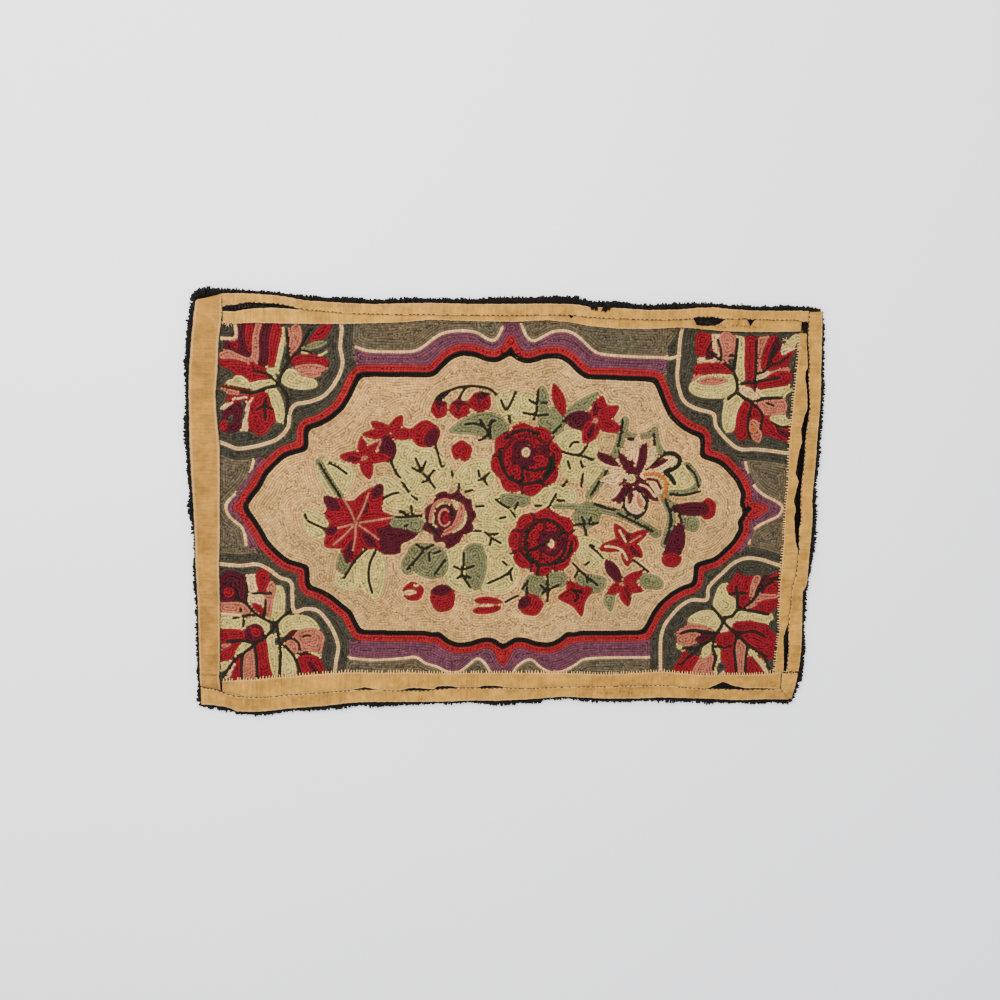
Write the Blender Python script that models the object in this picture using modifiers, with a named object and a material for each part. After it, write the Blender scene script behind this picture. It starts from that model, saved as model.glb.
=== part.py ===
"""Hooked rug, lying pile side down: one hooked ground and the eight tapes that bind its back.

Run with: blender --background --python part.py
"""
import math
import random
from collections import namedtuple

import bmesh
import bpy

# Thicknesses and clearances, in millimetres
MM = 0.001
GROUND_THICKNESS = 8.0
TAPE_THICKNESS = 1.0
GAP = 0.3

# Unevenness of the ground, in millimetres
SWELL_HEIGHT = 0.45
SWELL_CELL = 32.0
FIELD_HALF_LENGTH = 378.0
FIELD_HALF_WIDTH = 222.0
SWELL_FADE = 60.0

# Pile that stands out round the rim, in millimetres
LOCK_PITCH = 12.0
LOCK_DEPTH = 3.4
BACKING_MARGIN = 0.8
PILE_WAIST_HEIGHT = 4.2
FOOT_SHARE = 0.8
CORNER_STEPS = 4
SEED = 11

# Laying of the tapes, in millimetres
TAPE_STEP = 10.0
RAMP_START = 4.0
RAMP_END = 1.0
LEAST_CELL = 0.8

# Where tapes meet end to edge, in millimetres from the rug's middle
LEFT_SEAM_X = -383.8
TOP_INNER_END_X = 394.0
TOP_OUTER_END_X = 403.5
RIGHT_TOP_Y = (279.6, 281.0)
RIGHT_INNER_TOP_Y = 250.6
RIGHT_OUTER_FOOT_Y = -231.5
RIGHT_INNER_FOOT_Y = -231.8
BOTTOM_INNER_START_X = -395.0
BOTTOM_INNER_END_X = 399.4
BOTTOM_START_X = -424.0
MITRE_HEAD_X = 399.6
MITRE_FOOT_X = 413.4
LEFT_HEAD_Y = (279.0, 270.5)
LEFT_FOOT_Y = (-256.4, -249.8)

# Colours as red, green and blue, with roughness
WOOL = ((0.33, 0.25, 0.17), 0.95)
TAPE = ((0.47, 0.30, 0.13), 0.9)

# The two tapes of a side: along it, then far and near edges of the outer and the inner tape
Station = namedtuple("Station", "along outer_far outer_near inner_far inner_near")
TOP = [Station(*row) for row in (
    (-408, 278.0, 262.3, 256.0, 243.0),
    (-384, 279.0, 262.3, 256.5, 242.5),
    (-368, 280.0, 265.3, 256.8, 240.8),
    (-350, 280.2, 268.6, 260.7, 242.6),
    (-325, 279.3, 268.7, 262.9, 243.0),
    (-308, 278.3, 267.4, 262.8, 243.0),
    (-290, 275.5, 263.6, 261.8, 243.2),
    (-278, 273.6, 261.4, 262.8, 243.4),
    (-225, 272.0, 258.1, 262.5, 244.9),
    (-190, 271.7, 258.4, 263.5, 246.9),
    (-150, 274.0, 258.6, 266.0, 249.3),
    (-115, 275.7, 260.0, 270.0, 253.6),
    (-60, 275.9, 260.6, 270.5, 253.4),
    (0, 278.0, 262.2, 272.0, 254.4),
    (40, 279.6, 264.2, 273.0, 257.8),
    (70, 280.0, 264.8, 265.2, 256.2),
    (74, 280.0, 265.4, 260.8, 255.8),
    (78, 280.0, 264.4, 264.8, 255.2),
    (100, 277.2, 262.8, 269.0, 251.6),
    (140, 276.8, 262.3, 267.5, 249.4),
    (180, 275.5, 261.8, 267.5, 250.0),
    (222, 277.5, 263.5, 268.0, 253.7),
    (242, 279.9, 265.6, 266.0, 253.2),
    (247, 280.5, 268.4, 256.6, 252.8),
    (272, 281.9, 268.6, 257.2, 251.2),
    (280, 281.2, 267.2, 260.8, 250.9),
    (287, 280.5, 266.4, 266.9, 250.6),
    (317, 279.5, 267.4, 267.9, 250.4),
    (322, 279.4, 267.2, 257.2, 250.5),
    (328, 279.3, 266.9, 267.4, 250.7),
    (362, 280.1, 267.0, 268.4, 251.6),
    (385, 281.0, 267.8, 269.0, 252.8),
    (394, 281.1, 266.6, 267.8, 253.4),
    (404, 281.1, 265.6, 259.0, 253.6),
    (414, 281.0, 265.6, 259.0, 253.6),
)]
RIGHT = [Station(*row) for row in (
    (272, 423.0, 404.1, 398.0, 391.5),
    (262, 424.2, 404.2, 398.0, 391.5),
    (251, 424.6, 403.8, 402.4, 391.5),
    (240, 425.0, 404.3, 402.9, 392.2),
    (220, 426.4, 407.2, 405.9, 393.0),
    (205, 426.6, 408.6, 407.3, 392.3),
    (198, 427.0, 409.0, 404.8, 392.0),
    (188, 427.8, 409.6, 404.6, 391.6),
    (180, 428.3, 410.4, 407.4, 391.3),
    (160, 429.1, 413.0, 410.1, 390.4),
    (148, 429.1, 414.2, 410.9, 390.0),
    (138, 429.0, 413.7, 407.6, 389.8),
    (120, 428.6, 412.2, 403.9, 389.0),
    (100, 428.2, 410.9, 406.5, 388.6),
    (88, 428.6, 411.7, 403.2, 388.6),
    (58, 428.2, 411.0, 400.1, 390.2),
    (46, 427.8, 410.0, 405.5, 390.4),
    (30, 427.4, 409.8, 402.6, 390.2),
    (19, 427.4, 410.2, 400.3, 389.6),
    (5, 429.0, 411.2, 404.4, 389.0),
    (-5, 429.7, 413.0, 402.6, 389.2),
    (-20, 429.8, 411.3, 404.4, 389.6),
    (-40, 429.5, 412.0, 407.2, 389.9),
    (-52, 429.2, 412.6, 411.6, 389.7),
    (-62, 429.0, 411.6, 412.6, 389.4),
    (-90, 428.8, 410.4, 411.6, 388.8),
    (-105, 427.9, 406.3, 407.8, 389.0),
    (-113, 422.9, 405.9, 407.4, 389.2),
    (-140, 424.4, 405.3, 406.8, 390.0),
    (-158, 425.4, 404.4, 405.6, 391.2),
    (-168, 425.9, 404.8, 402.0, 392.8),
    (-180, 426.5, 406.4, 398.8, 392.0),
    (-200, 427.0, 408.0, 400.6, 390.2),
    (-215, 426.3, 407.2, 401.9, 389.7),
    (-234, 425.2, 406.8, 403.0, 389.2),
    (-246, 423.6, 406.8, 403.0, 389.2),
    (-258, 421.2, 406.8, 403.0, 389.2),
    (-266, 419.0, 406.8, 403.0, 389.2),
)]
BOTTOM = [Station(*row) for row in (
    (-424, -276.2, -251.0, -244.0, -243.0),
    (-406, -277.6, -254.6, -248.0, -242.9),
    (-395, -279.4, -258.2, -257.4, -242.9),
    (-386, -281.5, -261.6, -262.8, -242.2),
    (-375, -286.9, -264.4, -265.8, -241.5),
    (-350, -287.5, -265.5, -266.9, -240.8),
    (-328, -285.8, -265.0, -266.4, -238.2),
    (-306, -283.0, -262.2, -263.6, -236.7),
    (-256, -279.5, -259.2, -260.6, -232.4),
    (-220, -275.2, -256.0, -257.2, -230.6),
    (-200, -274.2, -255.8, -252.6, -231.0),
    (-180, -274.2, -256.3, -257.4, -231.5),
    (-152, -274.3, -257.4, -258.4, -231.2),
    (-137, -274.3, -257.8, -253.9, -231.0),
    (-120, -274.4, -257.9, -254.6, -232.0),
    (-104, -274.4, -256.3, -256.7, -232.8),
    (-99, -274.4, -255.9, -251.4, -232.9),
    (-78, -274.0, -254.8, -251.8, -232.6),
    (-68, -273.4, -253.2, -254.4, -232.2),
    (-41, -272.8, -253.4, -253.8, -232.2),
    (-35, -273.0, -255.0, -251.2, -232.3),
    (-14, -273.6, -254.2, -251.4, -232.5),
    (-4, -273.0, -253.6, -254.0, -232.5),
    (30, -271.6, -255.0, -256.4, -232.2),
    (80, -267.8, -252.6, -254.0, -232.6),
    (140, -271.2, -252.4, -253.8, -235.4),
    (190, -271.3, -251.0, -252.4, -232.8),
    (222, -269.9, -250.8, -252.2, -231.2),
    (275, -271.6, -255.7, -256.8, -236.0),
    (289, -272.1, -256.7, -257.5, -237.0),
    (300, -272.5, -257.3, -252.9, -237.8),
    (313, -273.3, -257.8, -246.6, -236.9),
    (328, -274.3, -258.2, -252.4, -236.4),
    (346, -274.6, -258.6, -256.6, -236.6),
    (375, -273.5, -257.9, -257.0, -235.6),
    (400, -273.7, -257.8, -258.6, -232.4),
    (406, -273.8, -258.0, -258.8, -232.4),
    (414, -273.9, -258.4, -253.0, -232.4),
)]

# A tape by itself: along it, then its far and near edges
Edge = namedtuple("Edge", "along far near")
LEFT = [Edge(*row) for row in (
    (-271, -424.4, -396.0),
    (-236, -425.0, -399.0),
    (-218, -425.0, -397.6),
    (-132, -425.2, -395.7),
    (-80, -426.8, -395.8),
    (-40, -426.8, -393.5),
    (0, -427.6, -393.0),
    (40, -429.3, -391.8),
    (80, -430.5, -391.2),
    (120, -430.0, -394.3),
    (150, -429.9, -395.3),
    (180, -428.6, -391.9),
    (220, -424.7, -389.6),
    (240, -422.1, -386.4),
    (252, -420.8, -384.6),
    (268, -418.0, -384.3),
    (279, -407.0, -384.2),
)]
TURN_UP = [Edge(*row) for row in (
    (-234.4, 424.4, 400.5),
    (-246.0, 423.4, 400.7),
    (-258.5, 420.8, 400.8),
    (-266.0, 418.8, 407.3),
    (-273.0, 418.0, 413.4),
)]

# Reach of the pile past the tape: along a side, then the reach there
Reach = namedtuple("Reach", "along pile")
TOP_PILE = [Reach(*row) for row in (
    (-408, 8.0), (-384, 5.0), (-350, 3.8), (-308, 3.8), (-278, 5.0), (-225, 6.2), (-160, 4.4),
    (-130, 7.2), (-110, 4.8), (-50, 7.0), (0, 8.4), (74, 10.0), (110, 6.0), (150, 7.2),
    (180, 6.4), (222, 8.2), (260, 4.8), (320, 4.8), (385, 6.0), (414, 4.0),
)]
RIGHT_PILE = [Reach(*row) for row in (
    (272, 3.2), (250, 3.4), (235, 5.8), (200, 4.2), (160, 5.2), (110, 6.0), (75, 6.4),
    (46, 4.4), (19, 6.0), (-5, 7.2), (-42, 7.2), (-85, 4.4), (-105, 3.2), (-116, 6.8),
    (-160, 5.2), (-190, 6.6), (-230, 7.6), (-266, 5.6),
)]
BOTTOM_PILE = [Reach(*row) for row in (
    (-419, 5.0), (-400, 5.4), (-375, 4.2), (-306, 4.8), (-218, 7.0), (-200, 6.2), (-166, 9.0),
    (-150, 4.8), (-80, 3.4), (-55, 2.4), (-30, 7.4), (10, 6.2), (46, 7.8), (56, 2.6),
    (100, 4.2), (140, 6.2), (195, 3.6), (222, 6.2), (280, 6.8), (340, 6.6), (411, 6.6),
)]
LEFT_PILE = [Reach(*row) for row in (
    (-271, 3.6), (-230, 3.4), (-120, 3.0), (-80, 3.2), (-50, 1.4), (-30, 2.2), (-8, 7.6),
    (20, 3.2), (48, 6.4), (70, 3.6), (90, 8.0), (130, 5.6), (180, 5.6), (240, 7.6), (268, 6.0),
)]

# Rounded corners of the bound edge: middle and radius, going clockwise from the top left
Corner = namedtuple("Corner", "x y radius")
TOP_LEFT = Corner(-408, 268, 10.0)
TOP_RIGHT = Corner(414, 272, 9.0)
BOTTOM_RIGHT = Corner(411, -266, 8.0)
BOTTOM_LEFT = Corner(-419, -271, 5.4)


def clear_scene():
    """Remove everything that the new file came with."""
    for item in list(bpy.data.objects):
        bpy.data.objects.remove(item, do_unlink=True)


def clamp(value, low, high):
    """Keep a value between two limits."""
    return max(low, min(high, value))


def smooth_step(value):
    """Ease from 0 to 1 as the value goes from 0 to 1."""
    value = clamp(value, 0.0, 1.0)
    return value * value * (3.0 - 2.0 * value)


def reader(rows, column):
    """Give a function that reads one column of a table at any place along the side."""
    ordered = sorted((row.along, getattr(row, column)) for row in rows)

    def read(along):
        if along <= ordered[0][0]:
            return ordered[0][1]
        for (start, low), (stop, high) in zip(ordered, ordered[1:]):
            if along <= stop:
                return low + (high - low) * (along - start) / (stop - start)
        return ordered[-1][1]

    return read


def ground_height(x, y):
    """Height of the ground's back: slow swells in the field, level under the tapes."""
    fade = smooth_step((FIELD_HALF_LENGTH - abs(x)) / SWELL_FADE)
    fade *= smooth_step((FIELD_HALF_WIDTH - abs(y)) / SWELL_FADE)
    swell = math.sin(x / 61.0 + 0.7) * math.cos(y / 47.0)
    swell += 0.6 * math.sin(x / 37.0 - y / 53.0)
    return GROUND_THICKNESS + SWELL_HEIGHT * fade * swell / 1.6


def make_material(name, finish):
    """Plain finish from a colour and a roughness."""
    colour, roughness = finish
    material = bpy.data.materials.new(name)
    material.use_nodes = True
    shader = material.node_tree.nodes["Principled BSDF"]
    shader.inputs["Base Color"].default_value = (*colour, 1.0)
    shader.inputs["Roughness"].default_value = roughness
    shader.inputs["Metallic"].default_value = 0.0
    material.diffuse_color = (*colour, 1.0)
    return material


def make_object(name, bm, collection, finish):
    """Turn a mesh in millimetres into a named object in metres."""
    bmesh.ops.scale(bm, vec=(MM, MM, MM), verts=bm.verts)
    mesh = bpy.data.meshes.new(name)
    bm.to_mesh(mesh)
    bm.free()
    mesh.materials.append(make_material(name, finish))
    item = bpy.data.objects.new(name, mesh)
    collection.objects.link(item)
    return item


def side_path(rows, column, pile_rows, outward, start, stop):
    """Follow the bound edge along a side, as (point, outward direction, pile's reach)."""
    edge = reader(rows, column)
    reach = reader(pile_rows, "pile")
    steps = round(abs(stop - start) / LOCK_PITCH) * 2
    path = []
    for step in range(1, steps):
        along = start + (stop - start) * step / steps
        across = edge(along)
        point = (along, across) if outward[0] == 0 else (across, along)
        path.append((point, outward, reach(along)))
    return path


def corner_path(corner, start_angle, first_reach, last_reach):
    """Follow a rounded corner clockwise through a quarter turn."""
    path = []
    for step in range(CORNER_STEPS + 1):
        share = step / CORNER_STEPS
        angle = math.radians(start_angle - 90.0 * share)
        outward = (math.cos(angle), math.sin(angle))
        point = (corner.x + corner.radius * outward[0], corner.y + corner.radius * outward[1])
        path.append((point, outward, first_reach + (last_reach - first_reach) * share))
    return path


def bound_edge():
    """Go once round the rug clockwise, from its top left corner."""
    path = corner_path(TOP_LEFT, 180.0, LEFT_PILE[-1].pile, TOP_PILE[0].pile)
    path += side_path(TOP, "outer_far", TOP_PILE, (0, 1), TOP_LEFT.x, TOP_RIGHT.x)
    path += corner_path(TOP_RIGHT, 90.0, TOP_PILE[-1].pile, RIGHT_PILE[0].pile)
    path += side_path(RIGHT, "outer_far", RIGHT_PILE, (1, 0), TOP_RIGHT.y, BOTTOM_RIGHT.y)
    path += corner_path(BOTTOM_RIGHT, 0.0, RIGHT_PILE[-1].pile, BOTTOM_PILE[-1].pile)
    path += side_path(BOTTOM, "outer_far", BOTTOM_PILE, (0, -1), BOTTOM_RIGHT.x, BOTTOM_LEFT.x)
    path += corner_path(BOTTOM_LEFT, -90.0, BOTTOM_PILE[0].pile, LEFT_PILE[0].pile)
    path += side_path(LEFT, "far", LEFT_PILE, (-1, 0), BOTTOM_LEFT.y, TOP_LEFT.y)
    return path


def lock_reaches(path):
    """Alternate the tips and notches of the pile's locks along the bound edge."""
    draw = random.Random(SEED)
    reaches = []
    for index, (_, _, reach) in enumerate(path):
        notch = LOCK_DEPTH * draw.uniform(0.5, 1.0) if index % 2 else 0.0
        tip = 0.0 if index % 2 else draw.uniform(-0.6, 0.6)
        reaches.append(max(reach - notch + tip, BACKING_MARGIN + 0.4))
    return reaches


def ring_at(path, reaches, height):
    """Offset the bound edge outwards into one ring of the ground's rim."""
    ring = []
    for (point, outward, _), reach in zip(path, reaches):
        ring.append((point[0] + outward[0] * reach, point[1] + outward[1] * reach, height))
    return ring


def raise_rim(bm, face, ring):
    """Extrude a face straight up and set its new edge to the next ring."""
    made = bmesh.ops.extrude_face_region(bm, geom=[face])
    bmesh.ops.delete(bm, geom=[face], context="FACES_ONLY")
    upper = next(item for item in made["geom"] if isinstance(item, bmesh.types.BMFace))
    for vert, place in zip(upper.verts, ring):
        vert.co = place
    return upper


def back_faces(bm):
    """Faces that lie wholly in the back's level."""
    level = GROUND_THICKNESS - 0.001
    return [face for face in bm.faces if all(vert.co.z > level for vert in face.verts)]


def cut_into_cells(bm):
    """Cut the back into cells that can follow the swells."""
    for axis, half in ((0, FIELD_HALF_LENGTH), (1, FIELD_HALF_WIDTH)):
        cells = round(2 * half / SWELL_CELL)
        normal = (1, 0, 0) if axis == 0 else (0, 1, 0)
        for step in range(cells + 1):
            place = [0.0, 0.0, 0.0]
            place[axis] = -half + 2 * half * step / cells
            back = back_faces(bm)
            edges = list({edge for face in back for edge in face.edges})
            verts = list({vert for face in back for vert in face.verts})
            bmesh.ops.bisect_plane(bm, geom=back + edges + verts, dist=0.0001,
                                   plane_co=place, plane_no=normal)


def build_ground(collection, path):
    """Hooked ground: a flat pile face below, uneven locks round it and a swelling back."""
    reaches = lock_reaches(path)
    foot = ring_at(path, [reach * FOOT_SHARE for reach in reaches], 0.0)
    waist = ring_at(path, reaches, PILE_WAIST_HEIGHT)
    brow = ring_at(path, [BACKING_MARGIN] * len(path), GROUND_THICKNESS)

    bm = bmesh.new()
    face = bm.faces.new([bm.verts.new(place) for place in foot])
    bmesh.ops.duplicate(bm, geom=[face])
    raise_rim(bm, raise_rim(bm, face, waist), brow)
    cut_into_cells(bm)
    bmesh.ops.remove_doubles(bm, verts=bm.verts, dist=0.001)
    for vert in {vert for face in back_faces(bm) for vert in face.verts}:
        vert.co.z = ground_height(vert.co.x, vert.co.y)
    bmesh.ops.triangulate(bm, faces=bm.faces)
    bmesh.ops.recalc_face_normals(bm, faces=bm.faces)
    return make_object("hooked_ground", bm, collection, WOOL)


def stations_between(rows, start, stop):
    """Even steps along a tape, with a station at each row of its table."""
    steps = max(1, round((stop - start) / TAPE_STEP))
    even = [start + (stop - start) * step / steps for step in range(steps + 1)]
    own = [row.along for row in rows if start + 1.0 < row.along < stop - 1.0]
    spaced = [start]
    for along in sorted(even[1:-1] + own):
        crowded = along - spaced[-1] < 2.0 or stop - along < 2.0
        if along in own or not crowded:
            spaced.append(along)
    return spaced + [stop]


def slanted(near_along, far_along, places, column):
    """Place along the side of one column's point, on a straight slanted end."""
    share = (places[column] - places[0]) / (places[-1] - places[0])
    return near_along + (far_along - near_along) * share


def build_tape(name, collection, rows, ends, upright, columns, lift):
    """Lay one tape as a grid between its edges and give it its thickness.

    ends holds the places of its first and last end, each at the near and the far edge.
    columns gives the places across the tape at a station, from near to far.
    lift gives how far the tape rises over what it crosses, at a place across a station.
    """
    (first_near, first_far), (last_near, last_far) = ends
    alongs = stations_between(rows, max(first_near, first_far), min(last_near, last_far))
    across_count = len(columns(alongs[0]))
    last = len(alongs) - 1

    bm = bmesh.new()
    bmesh.ops.create_grid(bm, x_segments=last, y_segments=across_count - 1, size=0.5)
    for vert in bm.verts:
        row = round((vert.co.x + 0.5) * last)
        column = round((vert.co.y + 0.5) * (across_count - 1))
        along = alongs[row]
        if row == 0:
            along = slanted(first_near, first_far, columns(along), column)
        if row == last:
            along = slanted(last_near, last_far, columns(along), column)
        across = columns(along)[column]
        height = GROUND_THICKNESS + GAP + lift(along, across)
        vert.co = (across, along, height) if upright else (along, across, height)
    bm.normal_update()
    if sum(face.normal.z for face in bm.faces) < 0:
        bmesh.ops.reverse_faces(bm, faces=bm.faces)
    item = make_object(name, bm, collection, TAPE)
    solidify = item.modifiers.new("thickness", "SOLIDIFY")
    solidify.thickness = TAPE_THICKNESS * MM
    solidify.offset = 1.0
    solidify.use_even_offset = True
    return item


def plain_columns(rows, near, far):
    """Edges of a tape that lies flat."""
    near_edge = reader(rows, near)
    far_edge = reader(rows, far)

    def columns(along):
        return (near_edge(along), far_edge(along))

    return columns


def riding_columns(rows):
    """Edges of an outer tape, with the two lines where it climbs onto the inner one."""
    near_edge = reader(rows, "outer_near")
    far_edge = reader(rows, "outer_far")
    inner_edge = reader(rows, "inner_far")

    def columns(along):
        near = near_edge(along)
        far = far_edge(along)
        outward = 1.0 if far > near else -1.0
        width = abs(far - near)
        covered = (inner_edge(along) - near) * outward
        ramp_end = clamp(covered + RAMP_END, LEAST_CELL, width - 2 * LEAST_CELL)
        ramp_start = clamp(covered + RAMP_START, ramp_end + LEAST_CELL, width - LEAST_CELL)
        return (near, near + ramp_end * outward, near + ramp_start * outward, far)

    return columns


def riding_lift(rows):
    """Lift of an outer tape over the inner tape's edge."""
    inner_edge = reader(rows, "inner_far")
    outward = 1.0 if rows[0].outer_far > rows[0].outer_near else -1.0

    def lift(along, across):
        clear = (across - inner_edge(along)) * outward
        climb = (RAMP_START - clear) / (RAMP_START - RAMP_END)
        return (TAPE_THICKNESS + GAP) * smooth_step(climb)

    return lift


def flat_lift(along, across):
    """No lift, for a tape that lies on the ground alone."""
    return 0.0


def build_side(collection, name, rows, upright, outer_ends, inner_ends):
    """Inner tape of a side, and the outer tape that rides over its edge."""
    inner_columns = plain_columns(rows, "inner_near", "inner_far")
    build_tape("binding_" + name + "_inner", collection, rows, inner_ends, upright,
               inner_columns, flat_lift)
    build_tape("binding_" + name + "_outer", collection, rows, outer_ends, upright,
               riding_columns(rows), riding_lift(rows))


def build_bindings(collection):
    """Lay all the tapes: one broad one at the left, and two narrow ones on each other side."""
    build_tape("binding_left", collection, LEFT, (LEFT_FOOT_Y, LEFT_HEAD_Y), True,
               plain_columns(LEFT, "near", "far"), flat_lift)
    build_side(collection, "top", TOP, False,
               ((LEFT_SEAM_X, LEFT_SEAM_X), (TOP_OUTER_END_X, TOP_OUTER_END_X)),
               ((LEFT_SEAM_X, LEFT_SEAM_X), (TOP_INNER_END_X, TOP_INNER_END_X)))
    build_side(collection, "right", RIGHT, True,
               ((RIGHT_OUTER_FOOT_Y, RIGHT_OUTER_FOOT_Y), RIGHT_TOP_Y),
               ((RIGHT_INNER_FOOT_Y, RIGHT_INNER_FOOT_Y), (RIGHT_INNER_TOP_Y, RIGHT_INNER_TOP_Y)))
    build_side(collection, "bottom", BOTTOM, False,
               ((BOTTOM_START_X, BOTTOM_START_X), (MITRE_HEAD_X, MITRE_FOOT_X)),
               ((BOTTOM_INNER_START_X, BOTTOM_INNER_START_X),
                (BOTTOM_INNER_END_X, BOTTOM_INNER_END_X)))
    foot, head = TURN_UP[-1].along, TURN_UP[0].along
    build_tape("binding_turn_up", collection, TURN_UP, ((foot, foot), (head, head)), True,
               plain_columns(TURN_UP, "near", "far"), flat_lift)


def centre_on_origin(collection):
    """Move the meshes so that the middle of the rug's outline lies over the origin."""
    ground = collection.objects["hooked_ground"].data
    low = [min(vert.co[axis] for vert in ground.vertices) for axis in range(2)]
    high = [max(vert.co[axis] for vert in ground.vertices) for axis in range(2)]
    for item in collection.objects:
        for vert in item.data.vertices:
            vert.co.x -= (low[0] + high[0]) / 2
            vert.co.y -= (low[1] + high[1]) / 2


def main():
    """Build the rug in a collection of its own."""
    clear_scene()
    collection = bpy.data.collections.new("hooked_rug")
    bpy.context.scene.collection.children.link(collection)
    build_ground(collection, bound_edge())
    build_bindings(collection)
    centre_on_origin(collection)


main()
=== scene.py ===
"""Hooked rug, lying pile side down, with its hooked back and its sewn binding tapes."""

import math
import random
from collections import namedtuple

import bmesh
import bpy
import numpy as np
from mathutils import Euler, Matrix, Vector


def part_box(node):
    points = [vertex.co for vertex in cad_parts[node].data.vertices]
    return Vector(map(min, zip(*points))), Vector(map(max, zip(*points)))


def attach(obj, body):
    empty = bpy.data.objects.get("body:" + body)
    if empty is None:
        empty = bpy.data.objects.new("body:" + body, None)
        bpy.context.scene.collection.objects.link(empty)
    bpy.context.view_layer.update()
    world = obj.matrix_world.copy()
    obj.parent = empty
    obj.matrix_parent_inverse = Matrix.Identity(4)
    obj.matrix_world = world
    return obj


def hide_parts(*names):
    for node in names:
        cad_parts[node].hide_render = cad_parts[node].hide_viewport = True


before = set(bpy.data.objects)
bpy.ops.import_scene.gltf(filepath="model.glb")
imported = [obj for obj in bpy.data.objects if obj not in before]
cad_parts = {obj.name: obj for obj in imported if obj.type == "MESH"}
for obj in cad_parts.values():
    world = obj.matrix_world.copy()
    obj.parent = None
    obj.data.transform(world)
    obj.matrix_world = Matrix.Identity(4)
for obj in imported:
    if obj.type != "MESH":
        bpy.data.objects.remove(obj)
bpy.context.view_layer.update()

bl_info = {
    "name": "Hooked rug",
    "version": (1, 0, 0),
    "blender": (4, 5, 0),
    "location": "View3D > Sidebar > Rug",
    "description": "Builds the hooked rows, pile, binding tapes and stitches of a hooked rug",
    "category": "Object",
}

# Lengths below are in millimetres from the middle of the drawing, unless a name says otherwise
MM = 0.001
GROUND_THICKNESS = 8.0
TAPE_THICKNESS = 1.0
GAP = 0.3
TAPE_LEVEL = GROUND_THICKNESS + GAP + TAPE_THICKNESS + 0.1

# An outer tape climbs over an inner one between these distances from its edge
RAMP_START = 4.0
RAMP_END = 1.0

# Slow swells of the field, which fade out towards the tapes
SWELL_HEIGHT = 0.45
FIELD_HALF_LENGTH = 378.0
FIELD_HALF_WIDTH = 222.0
SWELL_FADE = 60.0

# Where the drawing's middle lies in the rug's own frame
TURN_UP_FAR = 424.4
TURN_UP_HEAD = -234.4
SHIFT_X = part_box("binding_turn_up")[1].x / MM - TURN_UP_FAR
SHIFT_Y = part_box("binding_turn_up")[1].y / MM - TURN_UP_HEAD

# Where tapes meet end to edge
LEFT_SEAM_X = -383.8
TOP_INNER_END_X = 394.0
TOP_OUTER_END_X = 403.5
RIGHT_TOP_Y = (279.6, 281.0)
RIGHT_INNER_TOP_Y = 250.6
RIGHT_OUTER_FOOT_Y = -231.5
RIGHT_INNER_FOOT_Y = -231.8
BOTTOM_INNER_START_X = -395.0
BOTTOM_INNER_END_X = 399.4
BOTTOM_START_X = -424.0
MITRE_HEAD_X = 399.6
MITRE_FOOT_X = 413.4
LEFT_HEAD_Y = (279.0, 270.5)
LEFT_FOOT_Y = (-256.4, -249.8)

# The two tapes of a side: along it, then far and near edges of the outer and the inner tape
Station = namedtuple("Station", "along outer_far outer_near inner_far inner_near")
TOP = [Station(*row) for row in (
    (-408, 278.0, 262.3, 256.0, 243.0),
    (-384, 279.0, 262.3, 256.5, 242.5),
    (-368, 280.0, 265.3, 256.8, 240.8),
    (-350, 280.2, 268.6, 260.7, 242.6),
    (-325, 279.3, 268.7, 262.9, 243.0),
    (-308, 278.3, 267.4, 262.8, 243.0),
    (-290, 275.5, 263.6, 261.8, 243.2),
    (-278, 273.6, 261.4, 262.8, 243.4),
    (-225, 272.0, 258.1, 262.5, 244.9),
    (-190, 271.7, 258.4, 263.5, 246.9),
    (-150, 274.0, 258.6, 266.0, 249.3),
    (-115, 275.7, 260.0, 270.0, 253.6),
    (-60, 275.9, 260.6, 270.5, 253.4),
    (0, 278.0, 262.2, 272.0, 254.4),
    (40, 279.6, 264.2, 273.0, 257.8),
    (70, 280.0, 264.8, 265.2, 256.2),
    (74, 280.0, 265.4, 260.8, 255.8),
    (78, 280.0, 264.4, 264.8, 255.2),
    (100, 277.2, 262.8, 269.0, 251.6),
    (140, 276.8, 262.3, 267.5, 249.4),
    (180, 275.5, 261.8, 267.5, 250.0),
    (222, 277.5, 263.5, 268.0, 253.7),
    (242, 279.9, 265.6, 266.0, 253.2),
    (247, 280.5, 268.4, 256.6, 252.8),
    (272, 281.9, 268.6, 257.2, 251.2),
    (280, 281.2, 267.2, 260.8, 250.9),
    (287, 280.5, 266.4, 266.9, 250.6),
    (317, 279.5, 267.4, 267.9, 250.4),
    (322, 279.4, 267.2, 257.2, 250.5),
    (328, 279.3, 266.9, 267.4, 250.7),
    (362, 280.1, 267.0, 268.4, 251.6),
    (385, 281.0, 267.8, 269.0, 252.8),
    (394, 281.1, 266.6, 267.8, 253.4),
    (404, 281.1, 265.6, 259.0, 253.6),
    (414, 281.0, 265.6, 259.0, 253.6),
)]
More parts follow.
